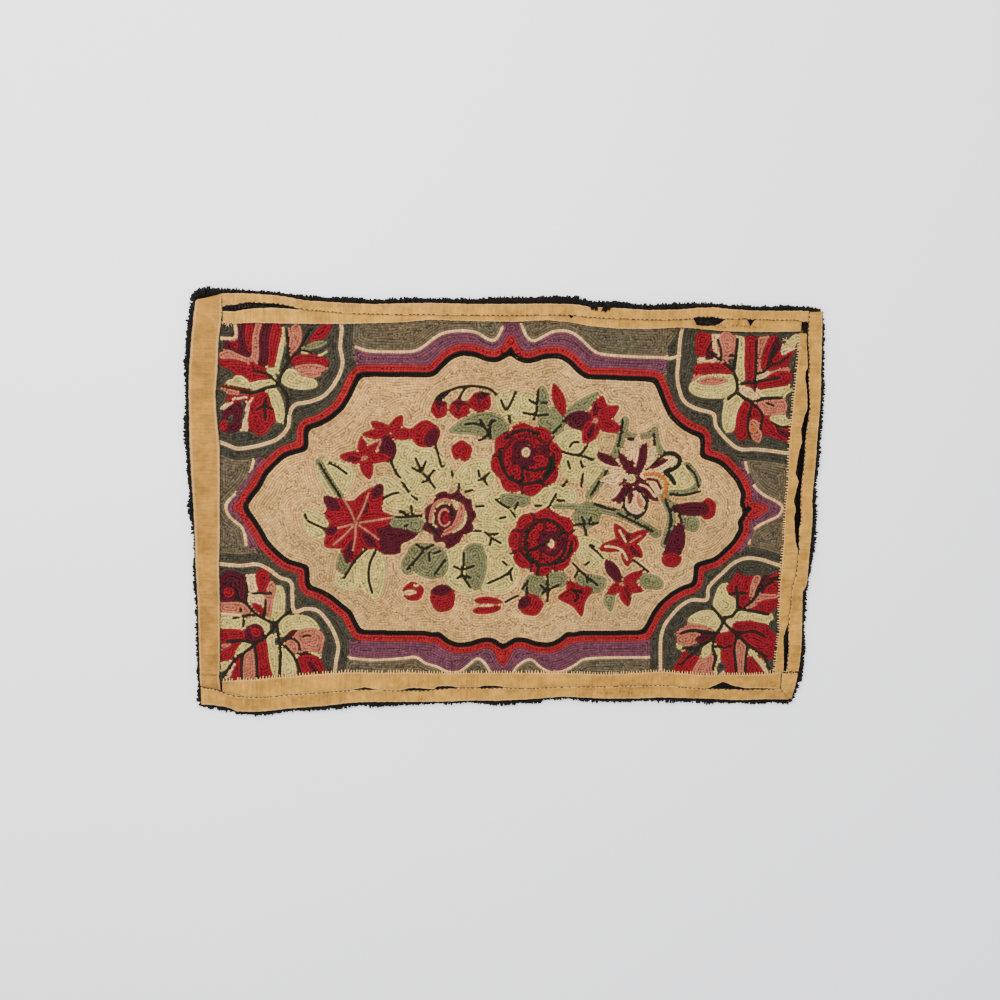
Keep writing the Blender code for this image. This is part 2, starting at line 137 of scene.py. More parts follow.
RIGHT = [Station(*row) for row in (
    (272, 423.0, 404.1, 398.0, 391.5),
    (262, 424.2, 404.2, 398.0, 391.5),
    (251, 424.6, 403.8, 402.4, 391.5),
    (240, 425.0, 404.3, 402.9, 392.2),
    (220, 426.4, 407.2, 405.9, 393.0),
    (205, 426.6, 408.6, 407.3, 392.3),
    (198, 427.0, 409.0, 404.8, 392.0),
    (188, 427.8, 409.6, 404.6, 391.6),
    (180, 428.3, 410.4, 407.4, 391.3),
    (160, 429.1, 413.0, 410.1, 390.4),
    (148, 429.1, 414.2, 410.9, 390.0),
    (138, 429.0, 413.7, 407.6, 389.8),
    (120, 428.6, 412.2, 403.9, 389.0),
    (100, 428.2, 410.9, 406.5, 388.6),
    (88, 428.6, 411.7, 403.2, 388.6),
    (58, 428.2, 411.0, 400.1, 390.2),
    (46, 427.8, 410.0, 405.5, 390.4),
    (30, 427.4, 409.8, 402.6, 390.2),
    (19, 427.4, 410.2, 400.3, 389.6),
    (5, 429.0, 411.2, 404.4, 389.0),
    (-5, 429.7, 413.0, 402.6, 389.2),
    (-20, 429.8, 411.3, 404.4, 389.6),
    (-40, 429.5, 412.0, 407.2, 389.9),
    (-52, 429.2, 412.6, 411.6, 389.7),
    (-62, 429.0, 411.6, 412.6, 389.4),
    (-90, 428.8, 410.4, 411.6, 388.8),
    (-105, 427.9, 406.3, 407.8, 389.0),
    (-113, 422.9, 405.9, 407.4, 389.2),
    (-140, 424.4, 405.3, 406.8, 390.0),
    (-158, 425.4, 404.4, 405.6, 391.2),
    (-168, 425.9, 404.8, 402.0, 392.8),
    (-180, 426.5, 406.4, 398.8, 392.0),
    (-200, 427.0, 408.0, 400.6, 390.2),
    (-215, 426.3, 407.2, 401.9, 389.7),
    (-234, 425.2, 406.8, 403.0, 389.2),
    (-246, 423.6, 406.8, 403.0, 389.2),
    (-258, 421.2, 406.8, 403.0, 389.2),
    (-266, 419.0, 406.8, 403.0, 389.2),
)]
BOTTOM = [Station(*row) for row in (
    (-424, -276.2, -251.0, -244.0, -243.0),
    (-406, -277.6, -254.6, -248.0, -242.9),
    (-395, -279.4, -258.2, -257.4, -242.9),
    (-386, -281.5, -261.6, -262.8, -242.2),
    (-375, -286.9, -264.4, -265.8, -241.5),
    (-350, -287.5, -265.5, -266.9, -240.8),
    (-328, -285.8, -265.0, -266.4, -238.2),
    (-306, -283.0, -262.2, -263.6, -236.7),
    (-256, -279.5, -259.2, -260.6, -232.4),
    (-220, -275.2, -256.0, -257.2, -230.6),
    (-200, -274.2, -255.8, -252.6, -231.0),
    (-180, -274.2, -256.3, -257.4, -231.5),
    (-152, -274.3, -257.4, -258.4, -231.2),
    (-137, -274.3, -257.8, -253.9, -231.0),
    (-120, -274.4, -257.9, -254.6, -232.0),
    (-104, -274.4, -256.3, -256.7, -232.8),
    (-99, -274.4, -255.9, -251.4, -232.9),
    (-78, -274.0, -254.8, -251.8, -232.6),
    (-68, -273.4, -253.2, -254.4, -232.2),
    (-41, -272.8, -253.4, -253.8, -232.2),
    (-35, -273.0, -255.0, -251.2, -232.3),
    (-14, -273.6, -254.2, -251.4, -232.5),
    (-4, -273.0, -253.6, -254.0, -232.5),
    (30, -271.6, -255.0, -256.4, -232.2),
    (80, -267.8, -252.6, -254.0, -232.6),
    (140, -271.2, -252.4, -253.8, -235.4),
    (190, -271.3, -251.0, -252.4, -232.8),
    (222, -269.9, -250.8, -252.2, -231.2),
    (275, -271.6, -255.7, -256.8, -236.0),
    (289, -272.1, -256.7, -257.5, -237.0),
    (300, -272.5, -257.3, -252.9, -237.8),
    (313, -273.3, -257.8, -246.6, -236.9),
    (328, -274.3, -258.2, -252.4, -236.4),
    (346, -274.6, -258.6, -256.6, -236.6),
    (375, -273.5, -257.9, -257.0, -235.6),
    (400, -273.7, -257.8, -258.6, -232.4),
    (406, -273.8, -258.0, -258.8, -232.4),
    (414, -273.9, -258.4, -253.0, -232.4),
)]

# A tape by itself: along it, then its far and near edges
Edge = namedtuple("Edge", "along far near")
LEFT = [Edge(*row) for row in (
    (-271, -424.4, -396.0),
    (-236, -425.0, -399.0),
    (-218, -425.0, -397.6),
    (-132, -425.2, -395.7),
    (-80, -426.8, -395.8),
    (-40, -426.8, -393.5),
    (0, -427.6, -393.0),
    (40, -429.3, -391.8),
    (80, -430.5, -391.2),
    (120, -430.0, -394.3),
    (150, -429.9, -395.3),
    (180, -428.6, -391.9),
    (220, -424.7, -389.6),
    (240, -422.1, -386.4),
    (252, -420.8, -384.6),
    (268, -418.0, -384.3),
    (279, -407.0, -384.2),
)]
TURN_UP = [Edge(*row) for row in (
    (-234.4, 424.4, 400.5),
    (-246.0, 423.4, 400.7),
    (-258.5, 420.8, 400.8),
    (-266.0, 418.8, 407.3),
    (-273.0, 418.0, 413.4),
)]

# Reach of the pile past the tape: along a side, then the reach there
Reach = namedtuple("Reach", "along pile")
TOP_PILE = [Reach(*row) for row in (
    (-408, 8.0), (-384, 5.0), (-350, 3.8), (-308, 3.8), (-278, 5.0), (-225, 6.2), (-160, 4.4),
    (-130, 7.2), (-110, 4.8), (-50, 7.0), (0, 8.4), (74, 10.0), (110, 6.0), (150, 7.2),
    (180, 6.4), (222, 8.2), (260, 4.8), (320, 4.8), (385, 6.0), (414, 4.0),
)]
RIGHT_PILE = [Reach(*row) for row in (
    (272, 3.2), (250, 3.4), (235, 5.8), (200, 4.2), (160, 5.2), (110, 6.0), (75, 6.4),
    (46, 4.4), (19, 6.0), (-5, 7.2), (-42, 7.2), (-85, 4.4), (-105, 3.2), (-116, 6.8),
    (-160, 5.2), (-190, 6.6), (-230, 7.6), (-266, 5.6),
)]
BOTTOM_PILE = [Reach(*row) for row in (
    (-419, 5.0), (-400, 5.4), (-375, 4.2), (-306, 4.8), (-218, 7.0), (-200, 6.2), (-166, 9.0),
    (-150, 4.8), (-80, 3.4), (-55, 2.4), (-30, 7.4), (10, 6.2), (46, 7.8), (56, 2.6),
    (100, 4.2), (140, 6.2), (195, 3.6), (222, 6.2), (280, 6.8), (340, 6.6), (411, 6.6),
)]
LEFT_PILE = [Reach(*row) for row in (
    (-271, 3.6), (-230, 3.4), (-120, 3.0), (-80, 3.2), (-50, 1.4), (-30, 2.2), (-8, 7.6),
    (20, 3.2), (48, 6.4), (70, 3.6), (90, 8.0), (130, 5.6), (180, 5.6), (240, 7.6), (268, 6.0),
)]

# Rounded corners of the bound edge: middle and radius, going clockwise from the top left
Corner = namedtuple("Corner", "x y radius")
TOP_LEFT = Corner(-408, 268, 10.0)
TOP_RIGHT = Corner(414, 272, 9.0)
BOTTOM_RIGHT = Corner(411, -266, 8.0)
BOTTOM_LEFT = Corner(-419, -271, 5.4)



# Colours of the wool by name, from 0 to 255, tuned for the lamp and the sky below
YARNS = {
    "beige": (173, 135, 82),
    "olive": (80, 69, 50),
    "charcoal": (50, 46, 35),
    "black": (9, 6, 4),
    "cream": (188, 149, 98),
    "border_red": (126, 23, 25),
    "mauve": (86, 46, 57),
    "red": (110, 10, 21),
    "maroon": (62, 9, 21),
    "pink": (148, 84, 62),
    "leaf_cream": (170, 150, 84),
    "sage": (98, 95, 62),
    "stem": (23, 20, 11),
    "orange": (156, 80, 14),
    "rust": (64, 14, 14),
}
YARN_NAMES = list(YARNS)


def linear(colour):
    """Turn a seen colour into the linear one that Blender's shaders use."""
    parts = [part / 255.0 for part in colour]
    return tuple(p / 12.92 if p <= 0.04045 else ((p + 0.055) / 1.055) ** 2.4 for p in parts)


def colour_prop(name, words, seen):
    """Colour setting with a default given as seen."""
    return bpy.props.FloatVectorProperty(name=name, description=words, subtype="COLOR", size=3,
                                         min=0.0, max=1.0, default=linear(seen))


def length_prop(name, words, millimetres):
    """Length setting with a default in millimetres."""
    return bpy.props.FloatProperty(name=name, description=words, subtype="DISTANCE",
                                   unit="LENGTH", default=millimetres * MM, min=0.0)


class RugRows(bpy.types.PropertyGroup):
    """Sizes of the hooked rows."""
    row_pitch: length_prop("Row pitch", "Distance between two hooked rows", 3.3)
    stitch_length: length_prop("Stitch length", "Length of one hooked loop on the back", 4.5)
    stitch_width: length_prop("Stitch width", "Width of one hooked loop on the back", 3.35)
    row_depth: length_prop("Row depth", "Depth of the furrow between two rows", 0.95)
    lock_length: length_prop("Rim pile length", "How far the pile's locks run inwards", 7.0)
    lock_width: length_prop("Rim pile width", "Thickness of one lock of the rim's pile", 3.6)


class RugYarns(bpy.types.PropertyGroup):
    """Colours of the wool."""
    beige: colour_prop("Field", "Beige wool of the field", YARNS["beige"])
    olive: colour_prop("Heather", "Olive heather wool outside the medallion", YARNS["olive"])
    charcoal: colour_prop("Charcoal", "Charcoal wool of the corners", YARNS["charcoal"])
    black: colour_prop("Black", "Black wool of the outline and the rim", YARNS["black"])
    cream: colour_prop("Cream line", "Cream wool of the border lines", YARNS["cream"])
    border_red: colour_prop("Border red", "Red wool of the medallion's band",
                            YARNS["border_red"])
    mauve: colour_prop("Mauve", "Mauve wool of the medallion's band", YARNS["mauve"])
    red: colour_prop("Flower red", "Red wool of the flowers", YARNS["red"])
    maroon: colour_prop("Maroon", "Dark red wool of the flowers", YARNS["maroon"])
    pink: colour_prop("Pink", "Pink wool of the flowers", YARNS["pink"])
    leaf_cream: colour_prop("Leaf cream", "Yellowish cream wool of the leaves",
                            YARNS["leaf_cream"])
    sage: colour_prop("Sage", "Greyish green wool of the leaves", YARNS["sage"])
    stem: colour_prop("Stems", "Dark wool of stems and veins", YARNS["stem"])
    orange: colour_prop("Orange", "Orange wool of one petal's edge", YARNS["orange"])
    rust: colour_prop("Rust", "Rust wool of petal stripes", YARNS["rust"])


class RugTapes(bpy.types.PropertyGroup):
    """Sizes and colours of the tapes and their sewing."""
    tape: colour_prop("Tape", "Tan cotton of the narrow tapes", (186, 134, 54))
    broad_tape: colour_prop("Broad tape", "Tan cotton of the broad tape", (168, 119, 49))
    thread: colour_prop("Sewing thread", "Brown thread of the seams", (48, 28, 12))
    whip_thread: colour_prop("Hem thread", "Tan thread over the inner edges", (214, 170, 100))
    mesh_step: length_prop("Tape mesh step", "Distance between points of a tape's mesh", 2.5)
    ripple: length_prop("Tape ripple", "How far a tape's edges and face ripple", 0.4)
    rib_pitch: length_prop("Rib pitch", "Distance between the ribs of the weave", 1.2)
    whip_pitch: length_prop("Hem stitch pitch", "Distance between two hem stitches", 3.8)


class RugStage(bpy.types.PropertyGroup):
    """Floor, lamps and camera."""
    floor_colour: colour_prop("Floor", "Pale floor under the rug", (250, 250, 252))
    lamp_power: bpy.props.FloatProperty(name="Lamp power", unit="POWER", default=54.0, min=0.0,
                                        description="Power of the large soft lamp")
    sky_strength: bpy.props.FloatProperty(name="Sky strength", default=1.6, min=0.0,
                                          description="Strength of the even light all round")
    lens: bpy.props.FloatProperty(name="Lens", unit="CAMERA", default=27.0, min=1.0,
                                  description="Focal length of the camera")


def clamp(value, low, high):
    """Keep a value between two limits."""
    return max(low, min(high, value))


def smooth_step(value):
    """Ease from 0 to 1 as the value goes from 0 to 1."""
    value = np.clip(value, 0.0, 1.0)
    return value * value * (3.0 - 2.0 * value)


def column_reader(rows, column):
    """Give a function that reads one column of a table at any place along the side."""
    ordered = sorted((row.along, getattr(row, column)) for row in rows)
    places = [place for place, _ in ordered]
    values = [value for _, value in ordered]

    def read(along):
        return np.interp(along, places, values)

    return read


def outward_side(rows):
    """1 where a side's tapes lie towards larger values, or else -1."""
    return 1.0 if rows[0].outer_far > rows[0].outer_near else -1.0


TOP_INNER_NEAR = column_reader(TOP, "inner_near")
BOTTOM_INNER_NEAR = column_reader(BOTTOM, "inner_near")
RIGHT_INNER_NEAR = column_reader(RIGHT, "inner_near")
LEFT_NEAR = column_reader(LEFT, "near")


def ground_height(x, y):
    """Height of the hooked back: slow swells in the field, level under the tapes."""
    fade = smooth_step((FIELD_HALF_LENGTH - np.abs(x)) / SWELL_FADE)
    fade = fade * smooth_step((FIELD_HALF_WIDTH - np.abs(y)) / SWELL_FADE)
    swell = np.sin(x / 61.0 + 0.7) * np.cos(y / 47.0)
    swell = swell + 0.6 * np.sin(x / 37.0 - y / 53.0)
    return GROUND_THICKNESS + SWELL_HEIGHT * fade * swell / 1.6


def add_shader(name):
    """New material with its node tree and its shader."""
    material = bpy.data.materials.new(name)
    material.use_nodes = True
    tree = material.node_tree
    shader = tree.nodes["Principled BSDF"]
    return material, tree, shader


def node(tree, kind, **settings):
    """Add a node and set its properties and the values of its sockets."""
    made = tree.nodes.new(kind)
    for key, value in settings.items():
        if hasattr(made, key) and key not in made.inputs:
            setattr(made, key, value)
        else:
            made.inputs[key].default_value = value
    return made


def wire(source, output, target, socket):
    """Join an output of one node to an input of another."""
    source.id_data.links.new(source.outputs[output], target.inputs[socket])


def map_range(tree, low, high, to_low, to_high):
    """Add a node that stretches one range of values over another."""
    ends = {"From Min": low, "From Max": high, "To Min": to_low, "To Max": to_high}
    return node(tree, "ShaderNodeMapRange", clamp=True, **ends)


def color_ramp(tree, *stops):
    """Add a ramp between two colours, each with its position."""
    ramp = node(tree, "ShaderNodeValToRGB")
    for element, (position, colour) in zip(ramp.color_ramp.elements, stops):
        element.position = position
        element.color = colour
    return ramp


def shaded(colour, share):
    """A colour made darker or paler, kept within the full one."""
    return (*[min(1.0, part * share) for part in colour], 1.0)


def raise_surface(source, output, shader, strength, distance, invert=False):
    """Let an output raise the surface as a bump."""
    bump = node(source.id_data, "ShaderNodeBump", Strength=strength, Distance=distance,
                invert=invert)
    wire(source, output, bump, "Height")
    wire(bump, "Normal", shader, "Normal")


def set_shine(shader, roughness, specular=0.5):
    """Set how matt a shader is."""
    shader.inputs["Roughness"].default_value = roughness
    shader.inputs["Specular IOR Level"].default_value = specular


def smooth_mesh(name, bm):
    """Turn a bmesh into a mesh with soft shading, and free it."""
    mesh = bpy.data.meshes.new(name)
    bm.to_mesh(mesh)
    bm.free()
    mesh.polygons.foreach_set("use_smooth", np.ones(len(mesh.polygons), bool))
    return mesh


def set_yarn(mesh, shades):
    """Give each point of a mesh its wool's colour."""
    colour = mesh.color_attributes.new("yarn", "FLOAT_COLOR", "POINT")
    four = np.concatenate([shades, np.ones((len(shades), 1))], 1)
    colour.data.foreach_set("color", four.astype(np.float32).ravel())


def move_points(bm, places):
    """Put the points of a bmesh at places given in the drawing's millimetres."""
    for vert, place in zip(bm.verts, place_in_frame(places)):
        vert.co = place


def place_in_frame(places):
    """Move an array of places from the drawing's millimetres to the rug's own metres."""
    moved = np.array(places, float)
    moved[..., 0] += SHIFT_X
    moved[..., 1] += SHIFT_Y
    return moved * MM


def add_piece(name, mesh, material):
    """Link a finished mesh as a piece of the rug that rides with it."""
    if material.name not in mesh.materials:
        mesh.materials.append(material)
    item = bpy.data.objects.new(name, mesh)
    bpy.context.scene.collection.objects.link(item)
    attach(item, "root")
    return item


# Drawing of the pattern on a fine grid
CELL = 0.75
GRID_LOW = (-404.0, -262.0)
GRID_HIGH = (404.0, 268.0)
EVERYWHERE = (slice(None), slice(None))
LINE_STEP = 2.0
ROW_WIDTH = 3.3
FIELD, BORDER, CORNERS, BLOOMS = range(4)


def smooth_line(points, closed=False):
    """Pass a smooth curve through a few points, in steps of about LINE_STEP."""
    points = np.array(points, float)
    if len(points) < 3 and not closed:
        count = max(2, int(np.hypot(*(points[-1] - points[0])) / LINE_STEP) + 1)
        share = np.linspace(0.0, 1.0, count)[:, None]
        return points[0] + (points[-1] - points[0]) * share
    if closed:
        ring = np.vstack([points[-1], points, points[0], points[1]])
    else:
        ring = np.vstack([2 * points[0] - points[1], points, 2 * points[-1] - points[-2]])
    line = []
    for before, start, stop, after in zip(ring, ring[1:], ring[2:], ring[3:]):
        count = max(1, int(np.hypot(*(stop - start)) / LINE_STEP))
        share = (np.arange(count) / count)[:, None]
        curve = 2 * start + (stop - before) * share
        curve = curve + (2 * before - 5 * start + 4 * stop - after) * share ** 2
        curve = curve + (3 * start - before - 3 * stop + after) * share ** 3
        line.append(curve / 2)
    if not closed:
        line.append(points[-1:])
    return np.vstack(line)


def rounded_corners(points, reach=3.0):
    """Polygon with its corners eased over a short reach."""
    line = []
    points = [np.array(point, float) for point in points]
    for before, here, after in zip(points[-1:] + points[:-1], points, points[1:] + points[:1]):
        for other in (before, after):
            away = other - here
            size = max(np.hypot(*away), 0.001)
            line.append(here + away * min(reach / size, 0.4))
    return np.array(line)


class Pattern:
    """Coloured shapes painted one over another, and rows that are laid along lines."""

    def __init__(self):
        columns = np.arange(GRID_LOW[0], GRID_HIGH[0], CELL)
        rows = np.arange(GRID_LOW[1], GRID_HIGH[1], CELL)
        self.x, self.y = np.meshgrid(columns, rows)
        self.yarn = np.zeros(self.x.shape, np.int16)
        self.region = np.zeros(self.x.shape, np.int32)
        self.group = np.zeros(self.x.shape, np.int8)
        self.lines = []
        self.count = 0
        self.layer = FIELD

    def window(self, points, margin):
        """Slices of the grid that hold the points and a margin."""
        low = (points.min(0) - margin - GRID_LOW) / CELL
        high = (points.max(0) + margin - GRID_LOW) / CELL + 1
        rows, columns = self.x.shape
        return (slice(int(clamp(low[1], 0, rows)), int(clamp(high[1], 0, rows))),
                slice(int(clamp(low[0], 0, columns)), int(clamp(high[0], 0, columns))))

    def paint(self, window, mask, yarn):
        """Give the masked cells of a window a yarn and a region of their own."""
        self.count += 1
        self.yarn[window][mask] = YARN_NAMES.index(yarn)
        self.region[window][mask] = self.count
        self.group[window][mask] = self.layer

    def inside(self, outline):
        """Window and mask of the cells inside a closed outline."""
        window = self.window(outline, 1.0)
        x, y = self.x[window], self.y[window]
        mask = np.zeros(x.shape, bool)
        for (ax, ay), (bx, by) in zip(outline, np.roll(outline, -1, axis=0)):
            if ay != by:
                crosses = (ay > y) != (by > y)
                mask ^= crosses & (x < (bx - ax) * (y - ay) / (by - ay) + ax)
        return window, mask

    def outline(self, yarn, points):
        """Paint a straight-sided shape."""
        window, mask = self.inside(np.array(points, float))
        self.paint(window, mask, yarn)

    def patch(self, yarn, *points):
        """Paint a soft closed shape through a few points."""
        window, mask = self.inside(smooth_line(points, closed=True))
        self.paint(window, mask, yarn)

    def blob(self, yarn, centre, radii, lobes=0, depth=0.0, turn=0.0):
        """Paint a round shape, scalloped where it has lobes."""
        angle = np.linspace(0.0, 2 * math.pi, 120, endpoint=False)
        reach = 1.0 - depth + depth * np.abs(np.cos((angle - math.radians(turn)) * lobes / 2))
        places = np.stack([np.cos(angle) * reach * radii[0], np.sin(angle) * reach * radii[1]], 1)
        window, mask = self.inside(places + np.array(centre, float))
        self.paint(window, mask, yarn)

    def petal(self, yarn, base, tip, width, fullest=0.55, blunt=0.7):
        """Paint a petal or leaf from its base to its tip."""
        base, tip = np.array(base, float), np.array(tip, float)
        axis = tip - base
        side = np.array([-axis[1], axis[0]]) / max(np.hypot(*axis), 0.001)
        along = np.linspace(0.0, 1.0, 25)
        power = math.log(0.5) / math.log(fullest)
        half = width / 2 * np.sin(math.pi * along ** power) ** blunt
        upper = base + axis * along[:, None] + side * half[:, None]
        lower = base + axis * along[:, None] - side * half[:, None]
        window, mask = self.inside(np.vstack([upper, lower[::-1]]))
        self.paint(window, mask, yarn)

    def near(self, line, width):
        """Window and mask of the cells within half a width of a line."""
        window = self.window(line, width)
        x, y = self.x[window], self.y[window]
        mask = np.zeros(x.shape, bool)
        for start, stop in zip(line, line[1:]):
            run = stop - start
            share = ((x - start[0]) * run[0] + (y - start[1]) * run[1]) / max(run @ run, 1e-6)
            share = np.clip(share, 0.0, 1.0)
            gap = np.hypot(x - start[0] - share * run[0], y - start[1] - share * run[1])
            mask |= gap < width / 2
        return window, mask

    def band(self, yarn, points, width, closed=False):
        """Paint a broad band along a curve, its rows left to follow its edges."""
        line = smooth_line(points, closed)
        window, mask = self.near(line, width)
        self.paint(window, mask, yarn)

    def line(self, yarn, points, width=ROW_WIDTH):
        """Paint a line and lay its rows along it."""
        line = smooth_line(points)
        window, mask = self.near(line, width)
        self.paint(window, mask, yarn)
        run = np.gradient(line, axis=0)
        side = np.stack([-run[:, 1], run[:, 0]], 1)
        side = side / np.maximum(np.hypot(side[:, 0], side[:, 1]), 0.001)[:, None]
        rows = max(1, round(width / ROW_WIDTH))
        for row in range(rows):
            offset = (row - (rows - 1) / 2) * width / rows
            self.lines.append((line + side * offset, self.count, width / rows))

    def flower(self, yarn, centre, *tips):
        """Paint pointed petals that spread from a centre to tips of given widths."""
        middle = np.array(centre, float)
        for x, y, width in tips:
            tip = np.array((x, y), float)
            self.petal(yarn, middle + (middle - tip) * 0.14, tip, width, 0.46, 0.8)

    def close_gaps(self, first, reach):
        """Let the shapes painted after a count meet over the ground between them."""
        rows, columns = np.nonzero(self.region > first)
        steps = round(reach / CELL)
        window = (slice(max(rows.min() - 2 * steps, 0), rows.max() + 2 * steps),
                  slice(max(columns.min() - 2 * steps, 0), columns.max() + 2 * steps))
        source = np.arange(self.region.size).reshape(self.region.shape)[window].copy()
        shapes = self.region[window] > first
        grown = shapes.copy()
        sides = ((0, 1), (0, -1), (1, 1), (1, -1))
        for _ in range(steps):
            for axis, shift in sides:
                new = np.roll(grown, shift, axis) & ~grown
                source[new] = np.roll(source, shift, axis)[new]
                grown |= new
        for _ in range(steps):
            for axis, shift in sides:
                grown &= np.roll(grown, shift, axis)
        new = grown & ~shapes
        for layer in (self.yarn, self.region, self.group):
            layer[window][new] = layer.ravel()[source[new]]

    def arc(self, yarn, centre, radii, start, stop, width=ROW_WIDTH):
        """Paint a line along part of an ellipse, between two angles in degrees."""
        count = max(3, int(abs(stop - start) / 20) + 1)
        angle = np.radians(np.linspace(start, stop, count))
        places = np.stack([np.cos(angle) * radii[0], np.sin(angle) * radii[1]], 1)
        self.line(yarn, places + np.array(centre, float), width)


def distance_to_edges(region):
    """Distance of each cell from the edge of its own region, in millimetres."""
    edge = np.zeros(region.shape, bool)
    across = region[:, 1:] != region[:, :-1]
    along = region[1:] != region[:-1]
    edge[:, 1:] |= across
    edge[:, :-1] |= across
    edge[1:] |= along
    edge[:-1] |= along
    rows, columns = np.indices(region.shape).astype(np.float32)
    near_row = np.where(edge, rows, 1e6).astype(np.float32)
    near_column = np.where(edge, columns, 1e6).astype(np.float32)
    best = np.hypot(near_row - rows, near_column - columns)
    for step in (64, 32, 16, 8, 4, 2, 1, 1):
        for row_step in (-step, 0, step):
            for column_step in (-step, 0, step):
                shift = (row_step, column_step)
                other_row = np.roll(near_row, shift, (0, 1))
                other_column = np.roll(near_column, shift, (0, 1))
                gap = np.hypot(other_row - rows, other_column - columns)
                nearer = gap < best
                near_row[nearer] = other_row[nearer]
                near_column[nearer] = other_column[nearer]
                best[nearer] = gap[nearer]
    return CELL * (best + 0.5)


def blurred(field, times):
    """Soften a grid by averaging neighbours."""
    for _ in range(times):
        padded = np.pad(field, 1, mode="edge")
        field = (padded[:-2, 1:-1] + padded[2:, 1:-1] + padded[1:-1, :-2]
                 + padded[1:-1, 2:] + 2 * padded[1:-1, 1:-1]) / 6
    return field


def contour_lines(field, level):
    """Lines on which a grid has the given level, as arrays of places."""
    above = field > level
    rows, columns = field.shape
    flat = above[:, 1:] != above[:, :-1]
    upright = above[1:] != above[:-1]
    crossings = {}
    for index, (row, column) in enumerate(zip(*np.nonzero(flat))):
        crossings[(row, column, 0)] = index
    flat_row, flat_column = np.nonzero(flat)
    low, high = field[flat_row, flat_column], field[flat_row, flat_column + 1]
    share = (level - low) / (high - low)
    flat_places = np.stack([flat_column + share, flat_row], 1)
    up_row, up_column = np.nonzero(upright)
    low, high = field[up_row, up_column], field[up_row + 1, up_column]
    share = (level - low) / (high - low)
    up_places = np.stack([up_column, up_row + share], 1)
    for index, (row, column) in enumerate(zip(up_row, up_column)):
        crossings[(row, column, 1)] = index + len(flat_places)
    places = np.vstack([flat_places, up_places]) * CELL + np.array(GRID_LOW)

    links = [[] for _ in places]
    busy = np.zeros((rows - 1, columns - 1), bool)
    busy |= flat[:-1] | flat[1:]
    busy |= upright[:, :-1] | upright[:, 1:]
    for row, column in zip(*np.nonzero(busy)):
        sides = ((row, column, 0), (row, column + 1, 1), (row + 1, column, 0), (row, column, 1))
        met = [crossings[side] for side in sides if side in crossings]
        for first, second in zip(met[::2], met[1::2]):
            links[first].append(second)
            links[second].append(first)

    lines = []
    seen = [False] * len(places)
    ends = [index for index, joined in enumerate(links) if len(joined) == 1]
    for start in ends + list(range(len(places))):
        if seen[start]:
            continue
        chain = [start]
        seen[start] = True
        here = start
        while True:
            onward = [other for other in links[here] if not seen[other]]
            if not onward:
                break
            here = onward[0]
            seen[here] = True
            chain.append(here)
        if len(chain) > 2:
            lines.append(places[chain])
    return lines


Stitch = namedtuple("Stitch", "x y turn length width yarn group")


class RowLayer:
    """Lays stitches along lines where the ground isn't covered yet."""

    def __init__(self, pattern, rows, allowed):
        self.pattern = pattern
        self.rows = rows
        self.covered = ~allowed
        self.stitches = []
        self.draw = random.Random(5)
        across = np.linspace(-0.5, 0.5, 5)
        along = np.linspace(-0.5, 0.5, 7)
        self.probe = np.array([(a, b) for a in along for b in across])
        fine_across = np.linspace(-0.5, 0.5, 8)
        fine_along = np.linspace(-0.5, 0.5, 12)
        self.stamp = np.array([(a, b) for a in fine_along for b in fine_across])

    def cells(self, shape, x, y, turn, length, width):
        """Grid cells under a shape of unit size, turned and placed."""
        cosine, sine = math.cos(turn), math.sin(turn)
        along, across = shape[:, 0] * length, shape[:, 1] * width
        columns = (x + along * cosine - across * sine - GRID_LOW[0]) / CELL + 0.5
        rows = (y + along * sine + across * cosine - GRID_LOW[1]) / CELL + 0.5
        height, breadth = self.covered.shape
        rows = np.clip(rows.astype(int), 0, height - 1)
        columns = np.clip(columns.astype(int), 0, breadth - 1)
        return rows, columns

    def lay(self, x, y, turn, length, width, limit, region=None):
        """Lay one stitch unless too much of its place is covered or another shape's."""
        row, column = self.cells(np.zeros((1, 2)), x, y, 0.0, 1.0, 1.0)
        if region is not None and self.pattern.region[row[0], column[0]] != region:
            return
        probe = self.cells(self.probe, x, y, turn, length * 0.9, width * 0.8)
        if self.covered[probe].mean() > limit:
            return
        stamp = self.cells(self.stamp, x, y, turn, length * 0.95, width * 0.9)
        self.covered[stamp] = True
        yarn = int(self.pattern.yarn[row[0], column[0]])
        group = int(self.pattern.group[row[0], column[0]])
        self.stitches.append(Stitch(x, y, turn, length, width, yarn, group))

    def follow(self, line, limit, region=None, width=None):
        """Lay stitches one after another along a line."""
        steps = np.hypot(*np.diff(line, axis=0).T)
        reach = np.concatenate([[0.0], np.cumsum(steps)])
        total = reach[-1]
        length = self.rows.stitch_length / MM
        count = max(1, round(total / length))
        if total < length * 0.5:
            return
        edges = np.linspace(0.0, total, count + 1)
        for index in range(1, count):
            edges[index] += self.draw.uniform(-0.14, 0.14) * length
        px = np.interp(edges, reach, line[:, 0])
        py = np.interp(edges, reach, line[:, 1])
        width = width or self.rows.stitch_width / MM
        for index in range(count):
            run_x, run_y = px[index + 1] - px[index], py[index + 1] - py[index]
            size = math.hypot(run_x, run_y)
            if size < 0.8:
                continue
            turn = math.atan2(run_y, run_x) + self.draw.uniform(-0.11, 0.11)
            self.lay((px[index] + px[index + 1]) / 2, (py[index] + py[index + 1]) / 2, turn,
                     size * 1.1, width * self.draw.uniform(0.9, 1.1), limit, region)


